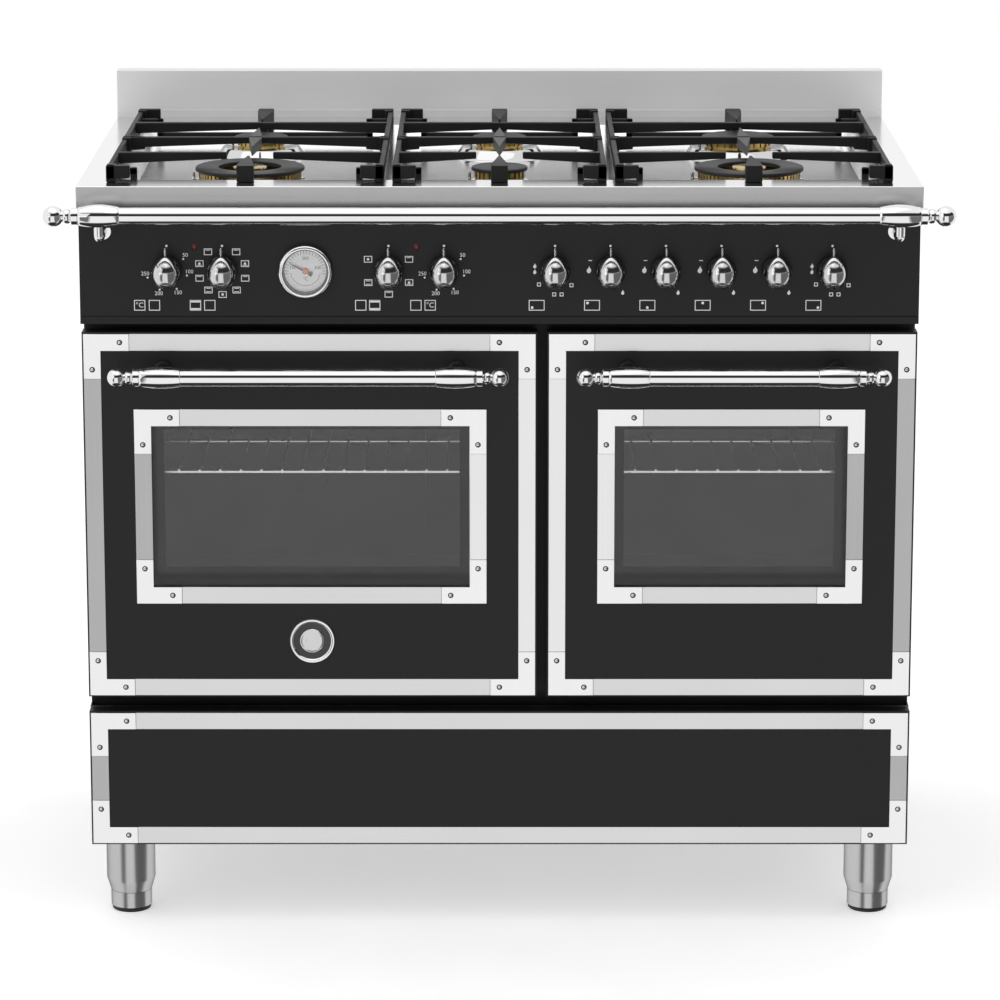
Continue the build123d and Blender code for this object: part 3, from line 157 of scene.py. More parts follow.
def tone(value):
    """A grey from one number; a colour stays as it is."""
    return value if isinstance(value, tuple) else (value, value, value, 1.0)


BRUSH_DEPTH, BRUSH_STEP, GRAIN_STEP = 0.02, 0.0002, 0.0003


def new_finish(name, group, own, ends, metallic, depth, step, constants):
    """A material with tone, gloss and bumps from a surface group, and the shader's fixed values set."""
    material = bpy.data.materials.new(name)
    material.use_nodes = True
    tree = material.node_tree
    shader = tree.nodes["Principled BSDF"]
    for label, value in ({"Metallic": metallic} | constants).items():
        shader.inputs[label.replace("_", " ")].default_value = value
    dark, light, smoothest, roughest = ends
    inputs = {"Dark": tone(dark), "Light": tone(light), "Smoothest": smoothest, "Roughest": roughest}
    inputs["Vector"] = tree.nodes.new("ShaderNodeTexCoord").outputs["Object"]
    surface = add_node(tree, "ShaderNodeGroup", inputs | own, node_tree=group).outputs
    tree.links.new(surface["Color"], shader.inputs["Base Color"])
    tree.links.new(surface["Roughness"], shader.inputs["Roughness"])
    if depth > 0:
        bump = {"Strength": depth, "Distance": step, "Height": surface["Height"]}
        tree.links.new(add_node(tree, "ShaderNodeBump", bump).outputs["Normal"], shader.inputs["Normal"])
    return material


def brushed(name, along, dark, light, smoothest, roughest, fineness=900.0, metallic=1.0, **constants):
    """Brushed metal: along says which axis the scratches run."""
    own = {"Stretch": tuple(3.0 if axis == along else fineness for axis in range(3))}
    ends = (dark, light, smoothest, roughest)
    return new_finish(name, BRUSH_MARKS, own, ends, metallic, BRUSH_DEPTH, BRUSH_STEP, constants)


def grained(name, dark, light, smoothest, roughest, scale, depth, metallic=0.0, **constants):
    """Sprayed, moulded or cast surface with a fine grain; with no depth only tone and gloss drift."""
    ends = (dark, light, smoothest, roughest)
    return new_finish(name, FINE_GRAIN, {"Grain Scale": scale}, ends, metallic, depth, GRAIN_STEP, constants)


X_AXIS, Y_AXIS, Z_AXIS = 0, 1, 2
BLACK_ENAMEL = grained("satin_black_enamel", 0.009, 0.012, 0.34, 0.42, 1400.0, 0.03, Specular_IOR_Level=0.26)
OVEN_ENAMEL = grained("dark_oven_enamel", 0.05, 0.08, 0.3, 0.42, 700.0, 0.06)
STRIP_ACROSS = brushed("strip_steel_across", X_AXIS, 0.66, 0.72, 0.16, 0.22)
# The upright strips are one steel in two painted tones: the outer ones darker as painted shade, the inner
# ones lighter as painted highlight.
SHADED_STRIP_STEEL = brushed("outer_strip_steel_painted_shade", Z_AXIS, 0.42, 0.48, 0.16, 0.22)
LIT_STRIP_STEEL = brushed("inner_strip_steel_painted_highlight", Z_AXIS, 0.78, 0.84, 0.16, 0.22)
PLATE_STEEL = brushed("corner_plate_steel", Z_AXIS, 0.84, 0.9, 0.15, 0.2)
HOB_STEEL = brushed("hob_steel", X_AXIS, 0.82, 0.88, 0.15, 0.21, fineness=1500.0)
# The hob's front edge: the hob steel at about half its tone, as painted shade.
SHADED_HOB_EDGE_STEEL = brushed("hob_edge_steel_painted_shade", X_AXIS, 0.42, 0.47, 0.2, 0.27, fineness=1500.0)
GUARD_STEEL = brushed("backguard_steel", X_AXIS, 0.78, 0.83, 0.34, 0.42, fineness=1500.0, metallic=0.35)
LEG_STEEL = brushed("leg_steel", Z_AXIS, 0.48, 0.58, 0.2, 0.26, Specular_Tint=tone(0.4))
KNOB_STEEL = brushed("knob_steel", Z_AXIS, 0.6, 0.68, 0.1, 0.15, fineness=1500.0)
SHEET_STEEL = grained("plain_sheet_steel", 0.42, 0.56, 0.38, 0.55, 240.0, 0.04, metallic=1.0)
# Near-black flat dome, wider than a screw head, set under it: a painted shadow ring round the screw.
SCREW_SHADOW_STEEL = grained("painted_screw_shadow_ring", 0.03, 0.05, 0.4, 0.5, 900.0, 0.05, metallic=1.0)
CHROME = grained("polished_chrome", 0.8, 0.85, 0.02, 0.04, 300.0, 0.001, metallic=1.0)
WIRE_CHROME = grained("rack_wire_chrome", 0.86, 0.94, 0.2, 0.32, 500.0, 0.02, metallic=1.0)
CAST_IRON = grained("matt_cast_iron", 0.005, 0.009, 0.46, 0.6, 1100.0, 0.25, Specular_IOR_Level=0.3)
GROUND_IRON = grained("ground_cast_iron", 0.05, 0.07, 0.5, 0.62, 1100.0, 0.1)
CAP_ENAMEL = grained("burner_cap_enamel", 0.01, 0.016, 0.4, 0.52, 1500.0, 0.1, Specular_IOR_Level=0.35)
BRASS = grained(
    "machined_brass", (0.28, 0.19, 0.06, 1), (0.6, 0.45, 0.17, 1), 0.14, 0.26, 600.0, 0.05, metallic=1.0
)
ALUMINIUM = grained("polished_aluminium", 0.62, 0.72, 0.06, 0.1, 260.0, 0.01, metallic=1.0)
RUBBER = grained("black_rubber", 0.012, 0.02, 0.6, 0.75, 900.0, 0.1)
SWITCH_PLASTIC = grained("switch_body_plastic", 0.03, 0.05, 0.45, 0.6, 900.0, 0.06)
LAMP_RED = grained("red_lamp_lens", (0.1, 0.003, 0.004, 1), (0.18, 0.006, 0.008, 1), 0.12, 0.2, 400.0, 0.02)
PRINT_WHITE = grained("white_print", 0.72, 0.8, 0.5, 0.6, 2000.0, 0.02)
DIAL_SILVER = grained("dial_silver", 0.6, 0.72, 0.28, 0.36, 900.0, 0.02, metallic=0.8)
DIAL_INK = grained("dial_ink", 0.02, 0.04, 0.5, 0.6, 2000.0, 0.02)
DIAL_RED = grained("dial_hub_orange", (0.5, 0.12, 0.03, 1), (0.62, 0.18, 0.05, 1), 0.3, 0.4, 900.0, 0.02)
OVEN_GLASS = grained("oven_glass", 0.92, 0.95, 0.0, 0.02, 3.0, 0.0, Transmission_Weight=1.0, IOR=1.36)
LENS_GLASS = grained("clear_lens", 0.9, 0.95, 0.02, 0.04, 5.0, 0.0, Alpha=0.1)


# Mesh helpers

# Faces that meet at less than these angles are shaded as one
SMOOTH, CRISP, GROWN = 35.0, 20.0, 40.0


def add_object(name, data):
    """A new object in the scene, at the origin."""
    piece = bpy.data.objects.new(name, data)
    bpy.context.scene.collection.objects.link(piece)
    return piece


def show(name, mesh, sharp):
    """An object for a mesh, smooth up to an angle."""
    mesh.shade_smooth()
    mesh.set_sharp_from_angle(angle=math.radians(sharp))
    return add_object(name, mesh)


def final_mesh(holder):
    """What an object looks like with its modifiers or as text; the object itself goes."""
    graph = bpy.context.evaluated_depsgraph_get()
    mesh = bpy.data.meshes.new_from_object(holder.evaluated_get(graph))
    bpy.data.objects.remove(holder)
    return mesh


def settle(piece, body, slot, *nodes):
    """Put a finished piece on its body and hide the CAD nodes that it stands for; the slot is not used."""
    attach(piece, body)
    if nodes:
        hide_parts(*nodes)


def keep(name, shape, material, body, slot, *nodes, sharp=SMOOTH):
    """A bmesh in millimetres becomes a finished piece, in metres, on its body."""
    bmesh.ops.remove_doubles(shape, verts=shape.verts, dist=0.0005)
    bmesh.ops.recalc_face_normals(shape, faces=shape.faces)
    bmesh.ops.scale(shape, vec=(MM, MM, MM), verts=shape.verts)
    mesh = bpy.data.meshes.new(name)
    shape.to_mesh(mesh)
    shape.free()
    mesh.materials.append(material)
    settle(show(name, mesh, sharp), body, slot, *nodes)


def add_shape(target, source):
    """Copy one bmesh into another."""
    held = bpy.data.meshes.new("held")
    source.to_mesh(held)
    source.free()
    target.from_mesh(held)
    bpy.data.meshes.remove(held)


def cross_axes(axis):
    """Two directions square to an axis."""
    side = UP if abs(axis.z) < 0.9 else ACROSS
    first = axis.cross(side).normalized()
    return first, axis.cross(first).normalized()


def ring_of(shape, middle, axis, radius, steps):
    """New vertices on a circle about an axis."""
    first, second = cross_axes(axis)
    ring = []
    for step in range(steps):
        angle = 2 * math.pi * step / steps
        ring.append(shape.verts.new(middle + (first * math.cos(angle) + second * math.sin(angle)) * radius))
    return ring


def turn(shape, profile, place, axis, steps=48):
    """Turn a profile of (distance along the axis, radius) pairs about an axis through a place."""
    rings = []
    for along, radius in profile:
        middle = Vector(place) + axis * along
        if radius > 0:
            rings.append(ring_of(shape, middle, axis, radius, steps))
        else:
            rings.append([shape.verts.new(middle)] * steps)
    for lower, upper in zip(rings, rings[1:]):
        for step in range(steps):
            after = (step + 1) % steps
            corners = (lower[step], upper[step], upper[after], lower[after])
            shape.faces.new(list(dict.fromkeys(corners)))


def turned(name, profile, place, axis, steps, material, body, slot, *nodes):
    """A turned shape as a piece of its own."""
    shape = bmesh.new()
    turn(shape, profile, place, axis, steps)
    keep(name, shape, material, body, slot, *nodes)


def arc_points(start, end, bulge, count=10):
    """Points of a parabola-like swell between two profile points, bulging by a radius in the middle."""
    points = []
    for step in range(count + 1):
        share = step / count
        along = start[0] + (end[0] - start[0]) * share
        radius = start[1] + (end[1] - start[1]) * share + bulge * 4 * share * (1 - share)
        points.append((along, radius))
    return points


def ball_points(middle, radius, first=0.0, last=180.0, count=14):
    """Points round a ball on the axis, from its near pole towards its far one, by angle in degrees."""
    points = []
    for step in range(count + 1):
        angle = math.radians(first + (last - first) * step / count)
        points.append((middle - radius * math.cos(angle), radius * math.sin(angle)))
    return points


def round_edges(solid, edge):
    if edge > 0:
        bmesh.ops.bevel(solid, geom=solid.edges[:], offset=edge, segments=2, profile=0.5, affect="EDGES")


def bevelled_box(shape, x, y, z, edge):
    """A box between two ends of each axis, its edges rounded."""
    box = bmesh.new()
    bmesh.ops.create_cube(box, size=1.0)
    centre = Vector(((x[0] + x[1]) / 2, (y[0] + y[1]) / 2, (z[0] + z[1]) / 2))
    size = Vector((x[1] - x[0], y[1] - y[0], z[1] - z[0]))
    for vert in box.verts:
        vert.co = centre + Vector((vert.co.x * size.x, vert.co.y * size.y, vert.co.z * size.z))
    round_edges(box, edge)
    add_shape(shape, box)


def prism(shape, outline, low, high, edge, up=UP):
    """A plan outline raised between two heights along an axis, its edges rounded."""
    solid = bmesh.new()
    bottom = [solid.verts.new(Vector(point) + up * low) for point in outline]
    top = [solid.verts.new(Vector(point) + up * high) for point in outline]
    solid.faces.new(bottom)
    solid.faces.new(top)
    count = len(outline)
    for step in range(count):
        after = (step + 1) % count
        solid.faces.new((bottom[step], bottom[after], top[after], top[step]))
    bmesh.ops.recalc_face_normals(solid, faces=solid.faces)
    round_edges(solid, edge)
    add_shape(shape, solid)


def tube(shape, path, radius, steps=20):
    """A round bar along a path of points, with flat ends."""
    points = [Vector(point) for point in path]
    rings = []
    for index, point in enumerate(points):
        before = points[max(index - 1, 0)]
        after = points[min(index + 1, len(points) - 1)]
        rings.append(ring_of(shape, point, (after - before).normalized(), radius, steps))
    for lower, upper in zip(rings, rings[1:]):
        for step in range(steps):
            after = (step + 1) % steps
            shape.faces.new((lower[step], lower[after], upper[after], upper[step]))
    shape.faces.new(rings[0])
    shape.faces.new(rings[-1])


# Geometry Nodes trees for what repeats


def new_tree(name, **inputs):
    """A geometry tree with named inputs, the last of them its material."""
    tree = bpy.data.node_groups.new(name, "GeometryNodeTree")
    for label, kind in ({"Geometry": "Geometry"} | inputs | {"Material": "Material"}).items():
        tree.interface.new_socket(label, in_out="INPUT", socket_type=f"NodeSocket{kind}")
    tree.interface.new_socket("Geometry", in_out="OUTPUT", socket_type="NodeSocketGeometry")
    return tree, tree.nodes.new("NodeGroupInput").outputs


def spread(tree, points, shape, **rotation):
    """Copies of a shape on points."""
    inputs = {"Points": points, "Instance": shape} | rotation
    return add_node(tree, "GeometryNodeInstanceOnPoints", inputs).outputs["Instances"]


def close_tree(tree, instances, material):
    """Realize the copies, give them their material and hand them out."""
    real = add_node(tree, "GeometryNodeRealizeInstances", {"Geometry": instances}).outputs["Geometry"]
    painted = add_node(tree, "GeometryNodeSetMaterial", {"Geometry": real, "Material": material})
    add_node(tree, "NodeGroupOutput", {"Geometry": painted.outputs["Geometry"]})
    return tree


def make_screw_tree():
    """A domed head, facing the front, on every point."""
    tree, given = new_tree("domed_screws", Head_Diameter="Float", Dome_Height="Float")
    dome = add_node(tree, "GeometryNodeMeshUVSphere", {"Segments": 20, "Rings": 10, "Radius": 1.0})
    half = calculate(tree, "MULTIPLY", given["Head_Diameter"], 0.5)
    size = vector(tree, half, given["Dome_Height"], half)
    flat = add_node(tree, "GeometryNodeTransform", {"Geometry": dome.outputs["Mesh"], "Scale": size})
    smooth = add_node(tree, "GeometryNodeSetShadeSmooth", {"Geometry": flat.outputs["Geometry"]})
    heads = spread(tree, given["Geometry"], smooth.outputs["Geometry"])
    return close_tree(tree, heads, given["Material"])


def make_ring_tree():
    """Blocks spaced round an arc, each with its own X axis pointing outwards."""
    spacing = {"Count": "Int", "Radius": "Float", "Start_Angle": "Float", "Angle_Step": "Float"}
    tree, given = new_tree("ring_of_blocks", **spacing, Block_Size="Vector", Centre="Vector", Tilt="Vector")
    number = tree.nodes.new("GeometryNodeInputIndex").outputs["Index"]
    angle = calculate(tree, "MULTIPLY_ADD", number, given["Angle_Step"], given["Start_Angle"])
    across = calculate(tree, "MULTIPLY", calculate(tree, "COSINE", angle), given["Radius"])
    along = calculate(tree, "MULTIPLY", calculate(tree, "SINE", angle), given["Radius"])
    places = {"Count": given["Count"], "Position": vector(tree, across, along, 0.0)}
    points = add_node(tree, "GeometryNodePoints", places).outputs["Geometry"]
    block = add_node(tree, "GeometryNodeMeshCube", {"Size": given["Block_Size"]}).outputs["Mesh"]
    ring = spread(tree, points, block, Rotation=vector(tree, 0.0, 0.0, angle))
    move = {"Geometry": ring, "Rotation": given["Tilt"], "Translation": given["Centre"]}
    moved = add_node(tree, "GeometryNodeTransform", move).outputs["Geometry"]
    return close_tree(tree, moved, given["Material"])


def make_rod_row_tree():
    """Parallel round rods in a row, as in an oven rack."""
    places = {"Count": "Int", "First": "Vector", "Pitch": "Vector", "Lie": "Vector"}
    tree, given = new_tree("row_of_rods", **places, Length="Float", Diameter="Float")
    radius = calculate(tree, "MULTIPLY", given["Diameter"], 0.5)
    sizes = {"Vertices": 14, "Radius": radius, "Depth": given["Length"]}
    rod = add_node(tree, "GeometryNodeMeshCylinder", sizes)
    line = {"Count": given["Count"], "Start Location": given["First"], "Offset": given["Pitch"]}
    row = add_node(tree, "GeometryNodeMeshLine", line)
    rods = spread(tree, row.outputs["Mesh"], rod.outputs["Mesh"], Rotation=given["Lie"])
    return close_tree(tree, rods, given["Material"])


SCREW_TREE = make_screw_tree()
RING_TREE = make_ring_tree()
ROD_ROW_TREE = make_rod_row_tree()


def grow(name, tree, points=((0, 0, 0),), **values):
    """Run a tree on a set of points, in metres, and keep what it makes as a plain mesh."""
    seed = bpy.data.meshes.new(name + "_points")
    seed.from_pydata(list(points), [], [])
    holder = add_object(name + "_points", seed)
    modifier = holder.modifiers.new("tree", "NODES")
    modifier.node_group = tree
    for item in tree.interface.items_tree:
        if item.item_type == "SOCKET" and item.in_out == "INPUT" and item.name in values:
            modifier[item.identifier] = values[item.name]
    return show(name, final_mesh(holder), GROWN)


def metres(x, y, z):
    return (x * MM, y * MM, z * MM)


# Rail and door handles: turned bars with ball ends, beads, collars and swelling barrels

BARREL_LENGTH = 48.0
# Diameters of the bar, the barrel and the ball, and where the barrel starts
RAIL_FORM = (21.0, 29.0, 25.0, 42.0)
HANDLE_FORM = (21.0, 26.4, 22.0, 38.0)
PEG, PEG_DROP = 11.5, 32.0
HANDLE_REACH = 50.0
POST = [(0, 0), (0, 10.4), (1.0, 11.0), (2.6, 10.6), (4.0, 7.6)]
POST += [(6.0, 6.6), (9.0, 6.5), (44.0, 6.5), (44.0, 0)]
# Radius of neck and bead as shares of the ball, and how far the collar stands back from the barrel
NECK_SHARE, BEAD_SHARE, COLLAR_SHARE = 0.27, 0.36, 0.42
LIP = 0.6
RAIL_RISE = 138.0


def turned_profile(length, bar, barrel, ball, barrel_start):
    """Ball, bead, collar and barrel of one end, and the same mirrored at the other, as (distance, radius)."""
    neck, bead = ball * NECK_SHARE, ball * BEAD_SHARE
    ball_end = ball / 2 + math.sqrt((ball / 2) ** 2 - neck**2)
    collar = barrel_start - (barrel_start - ball_end) * COLLAR_SHARE
    barrel_end = barrel_start + BARREL_LENGTH
    last = 180.0 - math.degrees(math.asin(neck / (ball / 2)))
    half = ball_points(ball / 2, ball / 2, 0.0, last, 16)
    half += arc_points((ball_end + LIP, neck), (collar - LIP, neck), bead - neck)
    half += [(collar, neck), (collar, bar / 2 - LIP), (collar + LIP, bar / 2)]
    half += [(barrel_start - LIP, bar / 2), (barrel_start, bar / 2 - LIP)]
    swell = (barrel - bar) / 2 - LIP
    half += arc_points((barrel_start + LIP, bar / 2), (barrel_end, bar / 2 + LIP), swell, 16)
    half += [(barrel_end + LIP, bar / 2)]
    return half + [(length - along, radius) for along, radius in reversed(half)]


def elbow_path(x, y, top, corner, wall, bend, count=8):
    """Down from the bar, round an elbow and straight back to the wall."""
    path = [(x, y, top)]
    for step in range(count + 1):
        angle = math.pi / 2 * step / count
        path.append((x, y + bend * (1 - math.cos(angle)), corner + bend * (1 - math.sin(angle))))
    return path + [(x, wall, corner)]


def make_rail():
    low, high = span("handrail", X_AXIS)
    axis_y = span("handrail", Y_AXIS)[0] + RAIL_FORM[1] / 2
    axis_z = PANEL_FOOT + RAIL_RISE
    elbow_z = axis_z - PEG_DROP + PEG / 2
    shape = bmesh.new()
    turn(shape, turned_profile(high - low, *RAIL_FORM), (low, axis_y, axis_z), ACROSS, 64)
    rosette = [(0, 0), (0, 9.5), (1.2, 10.2), (3.0, 9.6), (4.0, 0)]
    for side in (-1, 1):
        peg_x = side * ((high - low) / 2 - RAIL_FORM[3] - BARREL_LENGTH / 2)
        tube(shape, elbow_path(peg_x, axis_y, axis_z, elbow_z, FACE_Y, PEG / 2 + 1.0), PEG / 2, 32)
        turn(shape, rosette, (peg_x, FACE_Y, elbow_z), OUTWARD, 32)
    keep("rail", shape, CHROME, "body", "chrome", "handrail")


def make_handle(side):
    node, body = f"door_{side}_handle", f"door_{side}"
    low, high = span(node, X_AXIS)
    axis_z = sum(span(node, Z_AXIS)) / 2
    place = (low, FACE_Y - HANDLE_REACH, axis_z)
    profile = turned_profile(high - low, *HANDLE_FORM)
    turned(f"handle_{side}", profile, place, ACROSS, 64, CHROME, body, "chrome", node)
    # The posts are in black enamel, not chrome, as painted shade: the black stands for their dark reflection
    # and shadow behind the bar.
    shaded_posts = bmesh.new()
    inset = HANDLE_FORM[3] + BARREL_LENGTH / 2
    for post_x in (low + inset, high - inset):
        turn(shaded_posts, POST, (post_x, FACE_Y, axis_z), OUTWARD, 40)
    keep(f"handle_{side}_posts", shaded_posts, BLACK_ENAMEL, body, "black_enamel")


make_rail()
for door_side in DOORS:
    make_handle(door_side)


# Knobs: a pear-shaped grip on a hub and skirt, with a beaded finial above

OVEN_KNOBS = {"thermostat_left": -6, "selector_left": -5, "selector_right": -2, "thermostat_right": -1}
GAS_KNOBS = (1, 2, 3, 4, 5, 6)
KNOB_SEAT = FACE_Y - 6.0
KNOB_MIDDLE = KNOB_SEAT - 16.6
GRIP_RADIUS, GRIP_FOOT, GRIP_SHOULDER, NECK_RADIUS = 16.6, -17.8, 22.6, 1.2
FINIAL = [(23.4, 1.25), (24.2, 1.5), (25.1, 1.9), (26.0, 1.5), (26.8, 1.1), (27.8, 1.4), (28.6, 1.7)]
FINIAL += [(29.6, 1.4), (30.6, 1.1), (31.2, 0.7), (31.5, 0)]
SKIRT = [(0, 0), (0, 17.4), (0.6, 18.0), (2.4, 18.0), (3.4, 17.0)]
SKIRT += [(4.0, 13.0), (4.4, 9.4), (12.0, 9.0), (12.0, 0)]
# Steps of the outline and how full its curve is, below and above the widest place
BELOW, ABOVE = (16, 0.95), (18, 0.72)


def pear_profile():
    """Half outline of the grip from its foot to the tip of its finial, as (height, radius)."""
    profile = []
    steps, fullness = BELOW
    for step in range(steps + 1):
        angle = math.pi / 2 * step / steps
        profile.append((GRIP_FOOT * math.cos(angle), GRIP_RADIUS * math.sin(angle) ** fullness))
    steps, fullness = ABOVE
    for step in range(1, steps + 1):
        share = step / steps
        swell = (GRIP_RADIUS - NECK_RADIUS) * (1 - share**2) ** fullness
        profile.append((GRIP_SHOULDER * share, NECK_RADIUS + swell))
    return profile + FINIAL


def make_knob(label, step):
    node, x = f"knob_{label}", step * KNOB_PITCH
    middle, seat = (x, KNOB_MIDDLE, KNOB_Z), (x, KNOB_SEAT, KNOB_Z)
    turned(f"grip_{label}", pear_profile(), middle, UP, 48, KNOB_STEEL, node, "chrome", node)
    turned(f"skirt_{label}", SKIRT, seat, OUTWARD, 48, BLACK_ENAMEL, node, "black_enamel")


for knob_name, knob_step in OVEN_KNOBS.items():
    make_knob(knob_name, knob_step)
for knob_step in GAS_KNOBS:
    make_knob(f"gas_{knob_step}", knob_step)


# Steel edging of the doors and the drawer: strips, corner plates and domed screws

CORNER_ARM = 54.5
SCREW_REACH = 43.3
STRIP_SHEET = 1.2
PLATE_SHEET = 1.8
EDGE_ROUND = 0.35
LIT_STRIP_REACH = 250.0
BLACK_EDGE = 1.8
# Diameter and height of the dark ring under each screw, a painted shadow, and of its head, in metres
SHADOW_RING, HEAD = (0.0068, 0.0005), (0.0046, 0.0016)


def corner_plate(shape, corner, across, up):
    """An L-shaped plate over one corner."""
    band, arm = TRIM_BAND, CORNER_ARM
    plan = [(0, 0), (arm, 0), (arm, band), (band, band), (band, arm), (0, arm)]
    outline = [(corner[0] + across * x, 0, corner[1] + up * z) for x, z in plan]
    prism(shape, outline, -FACE_Y, -FACE_Y + PLATE_SHEET, EDGE_ROUND, up=OUTWARD)


def make_edging(label, frames, body, node):
    """Edging round one or two rectangles, each given as its x and z spans."""
    across_strips = bmesh.new()
    shaded_outer_strips, lit_inner_strips = bmesh.new(), bmesh.new()
    plates = bmesh.new()
    screws = []
    skin = (FACE_Y - STRIP_SHEET, FACE_Y)
    for x, z in frames:
        inner_x = (x[0] + CORNER_ARM, x[1] - CORNER_ARM)
        inner_z = (z[0] + CORNER_ARM, z[1] - CORNER_ARM)
        for level in ((z[0], z[0] + TRIM_BAND), (z[1] - TRIM_BAND, z[1])):
            bevelled_box(across_strips, inner_x, skin, level, EDGE_ROUND)
        for column in ((x[0], x[0] + TRIM_BAND), (x[1] - TRIM_BAND, x[1])):
            # Uprights near the middle take the lighter, painted-highlight tone; the outer ones take the
            # darker, painted-shade tone.
            side = lit_inner_strips if abs(column[0]) < LIT_STRIP_REACH else shaded_outer_strips
            bevelled_box(side, column, skin, inner_z, EDGE_ROUND)
        for corner_x, across in ((x[0], 1), (x[1], -1)):
            for corner_z, up in ((z[0], 1), (z[1], -1)):
                corner_plate(plates, (corner_x, corner_z), across, up)
                front = FACE_Y - PLATE_SHEET
                reach, middle = SCREW_REACH, TRIM_BAND / 2
                screws.append(metres(corner_x + across * reach, front, corner_z + up * middle))
                screws.append(metres(corner_x + across * middle, front, corner_z + up * reach))
    keep(f"{label}_corner_plates", plates, PLATE_STEEL, body, "brushed_steel", node, sharp=CRISP)
    strips = (("across", across_strips, STRIP_ACROSS), ("outer", shaded_outer_strips, SHADED_STRIP_STEEL))
    for part, shape, finish in strips + (("inner", lit_inner_strips, LIT_STRIP_STEEL),):
        if shape.verts:
            keep(f"{label}_strips_{part}", shape, finish, body, "brushed_steel", sharp=CRISP)
    # Under each head goes a wider dark dome as its painted shadow ring.
    for part, (diameter, height), finish in (("screw_shadow_rings", SHADOW_RING, SCREW_SHADOW_STEEL), ("screws", HEAD, CHROME)):
        domes = grow(
            f"{label}_{part}", SCREW_TREE, screws, Head_Diameter=diameter, Dome_Height=height, Material=finish
        )
        settle(domes, body, "brushed_steel")


def shrunk(ends, margin):
    return ends[0] + margin, ends[1] - margin


WINDOW_SIDE, WINDOW_FOOT, WINDOW_HEAD = 81.0, 137.0, 335.0
DOOR_FOOT = span("door_left_panel", Z_AXIS)[0]
WINDOW_Z = (DOOR_FOOT + WINDOW_FOOT, DOOR_FOOT + WINDOW_HEAD)
for door_side in DOORS:
    door_x = span(f"door_{door_side}_panel", X_AXIS)
    door_z = span(f"door_{door_side}_panel", Z_AXIS)
    outer_frame = (shrunk(door_x, BLACK_EDGE), shrunk(door_z, BLACK_EDGE))
    window_frame = (shrunk(door_x, WINDOW_SIDE - TRIM_BAND), shrunk(WINDOW_Z, -TRIM_BAND))
    door = f"door_{door_side}"
    make_edging(door, (outer_frame, window_frame), door, f"{door}_trim")
drawer_frame = tuple(shrunk(span("drawer_front", axis), BLACK_EDGE) for axis in (X_AXIS, Z_AXIS))
make_edging("drawer", (drawer_frame,), "drawer", "drawer_trim")


BOSS_Z = 356.0


def make_boss():
    """A plain round boss low on the left door: turned rim, dark inlay ring and domed middle."""
    centre = (sum(span("door_left_panel", X_AXIS)) / 2, FACE_Y, BOSS_Z)
    rim = [(0, 22.0), (0, 27.0), (1.6, 27.4), (2.6, 26.8), (3.0, 25.6), (2.7, 24.4), (1.6, 23.6), (0.8, 22.0)]
    inlay = [(0, 0), (0, 24.0), (1.2, 24.0), (1.2, 0)]
    middle = [(0.6, 0), (0.6, 14.2), (1.8, 14.6), (2.4, 13.8), (2.2, 12.6), (1.8, 11.6), (2.4, 8.0)]
    parts = (
        ("rim", rim + rim[:1], CHROME),
        ("inlay", inlay, SWITCH_PLASTIC),
        ("middle", middle + [(2.9, 4.0), (3.0, 0)], KNOB_STEEL),
    )
    for name, profile, finish in parts:
        turned(f"door_left_boss_{name}", profile, centre, OUTWARD, 72, finish, "door_left", "chrome")


make_boss()


# Thin bands on the front: the hob's cross-brushed edge, a darker copy of the hob steel as painted shade, and
# the folded lip along the panel's foot


def make_band(name, x, y, z, edge, material, slot):
    shape = bmesh.new()
    bevelled_box(shape, x, y, z, edge)
    keep(name, shape, material, "body", slot, sharp=CRISP)


HOB_ROUND, HOB_BAND, FOLD, FOLD_HEIGHT = 1.5, 0.2, 0.9, 9.0
hob_band_x = shrunk(span("hob_top", X_AXIS), HOB_ROUND)
hob_band_z = (span("hob_top", Z_AXIS)[0], HOB_RIM - HOB_ROUND)
hob_band_y = (HOB_FRONT - HOB_BAND, HOB_FRONT)
make_band("hob_front_edge", hob_band_x, hob_band_y, hob_band_z, 0.1, SHADED_HOB_EDGE_STEEL, "brushed_steel")
fold_x = span("control_panel", X_AXIS)
fold_z = (PANEL_FOOT, PANEL_FOOT + FOLD_HEIGHT)
make_band("panel_fold", fold_x, (FACE_Y - FOLD, FACE_Y), fold_z, 0.4, BLACK_ENAMEL, "black_enamel")


# Legs: a brushed sleeve, a narrower tube below it and a rubber pad

LEG_RADIUS = 30.0


def make_legs():
    ends_x = shrunk(span("legs", X_AXIS), LEG_RADIUS)
    ends_y = shrunk(span("legs", Y_AXIS), LEG_RADIUS)
    top = span("legs", Z_AXIS)[1]
    sleeve = [(25.0, 0), (25.0, 24.8), (25.6, 25.5), (38.6, 29.4), (41.0, LEG_RADIUS)]
    sleeve += [(top, LEG_RADIUS), (top, 0)]
    foot = [(5.0, 0), (5.0, 24.4), (5.8, 25.2), (25.0, 25.2), (25.0, 0)]
    pad = [(0, 0), (0, 22.6), (0.8, 23.6), (2.0, 24.0), (5.0, 24.0), (5.0, 0)]
    sleeves, pads = bmesh.new(), bmesh.new()
    for place in [(x, y, 0) for x in ends_x for y in ends_y]:
        for shape, profile in ((sleeves, sleeve), (sleeves, foot), (pads, pad)):
            turn(shape, profile, place, UP, 56)
    keep("leg_sleeves", sleeves, LEG_STEEL, "body", "brushed_steel", "legs", sharp=CRISP)
    keep("leg_pads", pads, RUBBER, "body", "seal_rubber")


make_legs()


# Burners: spun bowl, slotted brass ring and enamelled cap

RING_TOP = WELL_FLOOR + 20.0
DUAL_CAP, SMALL_CAP, LARGE_CAP = 132.0, 68.0, 92.0
DUAL_HOLE, DUAL_INNER = 75.0, 42.0
FRONT_ROW, REAR_ROW = HOB_FRONT + 140.0, HOB_FRONT + 392.0
COLUMN = 301.5
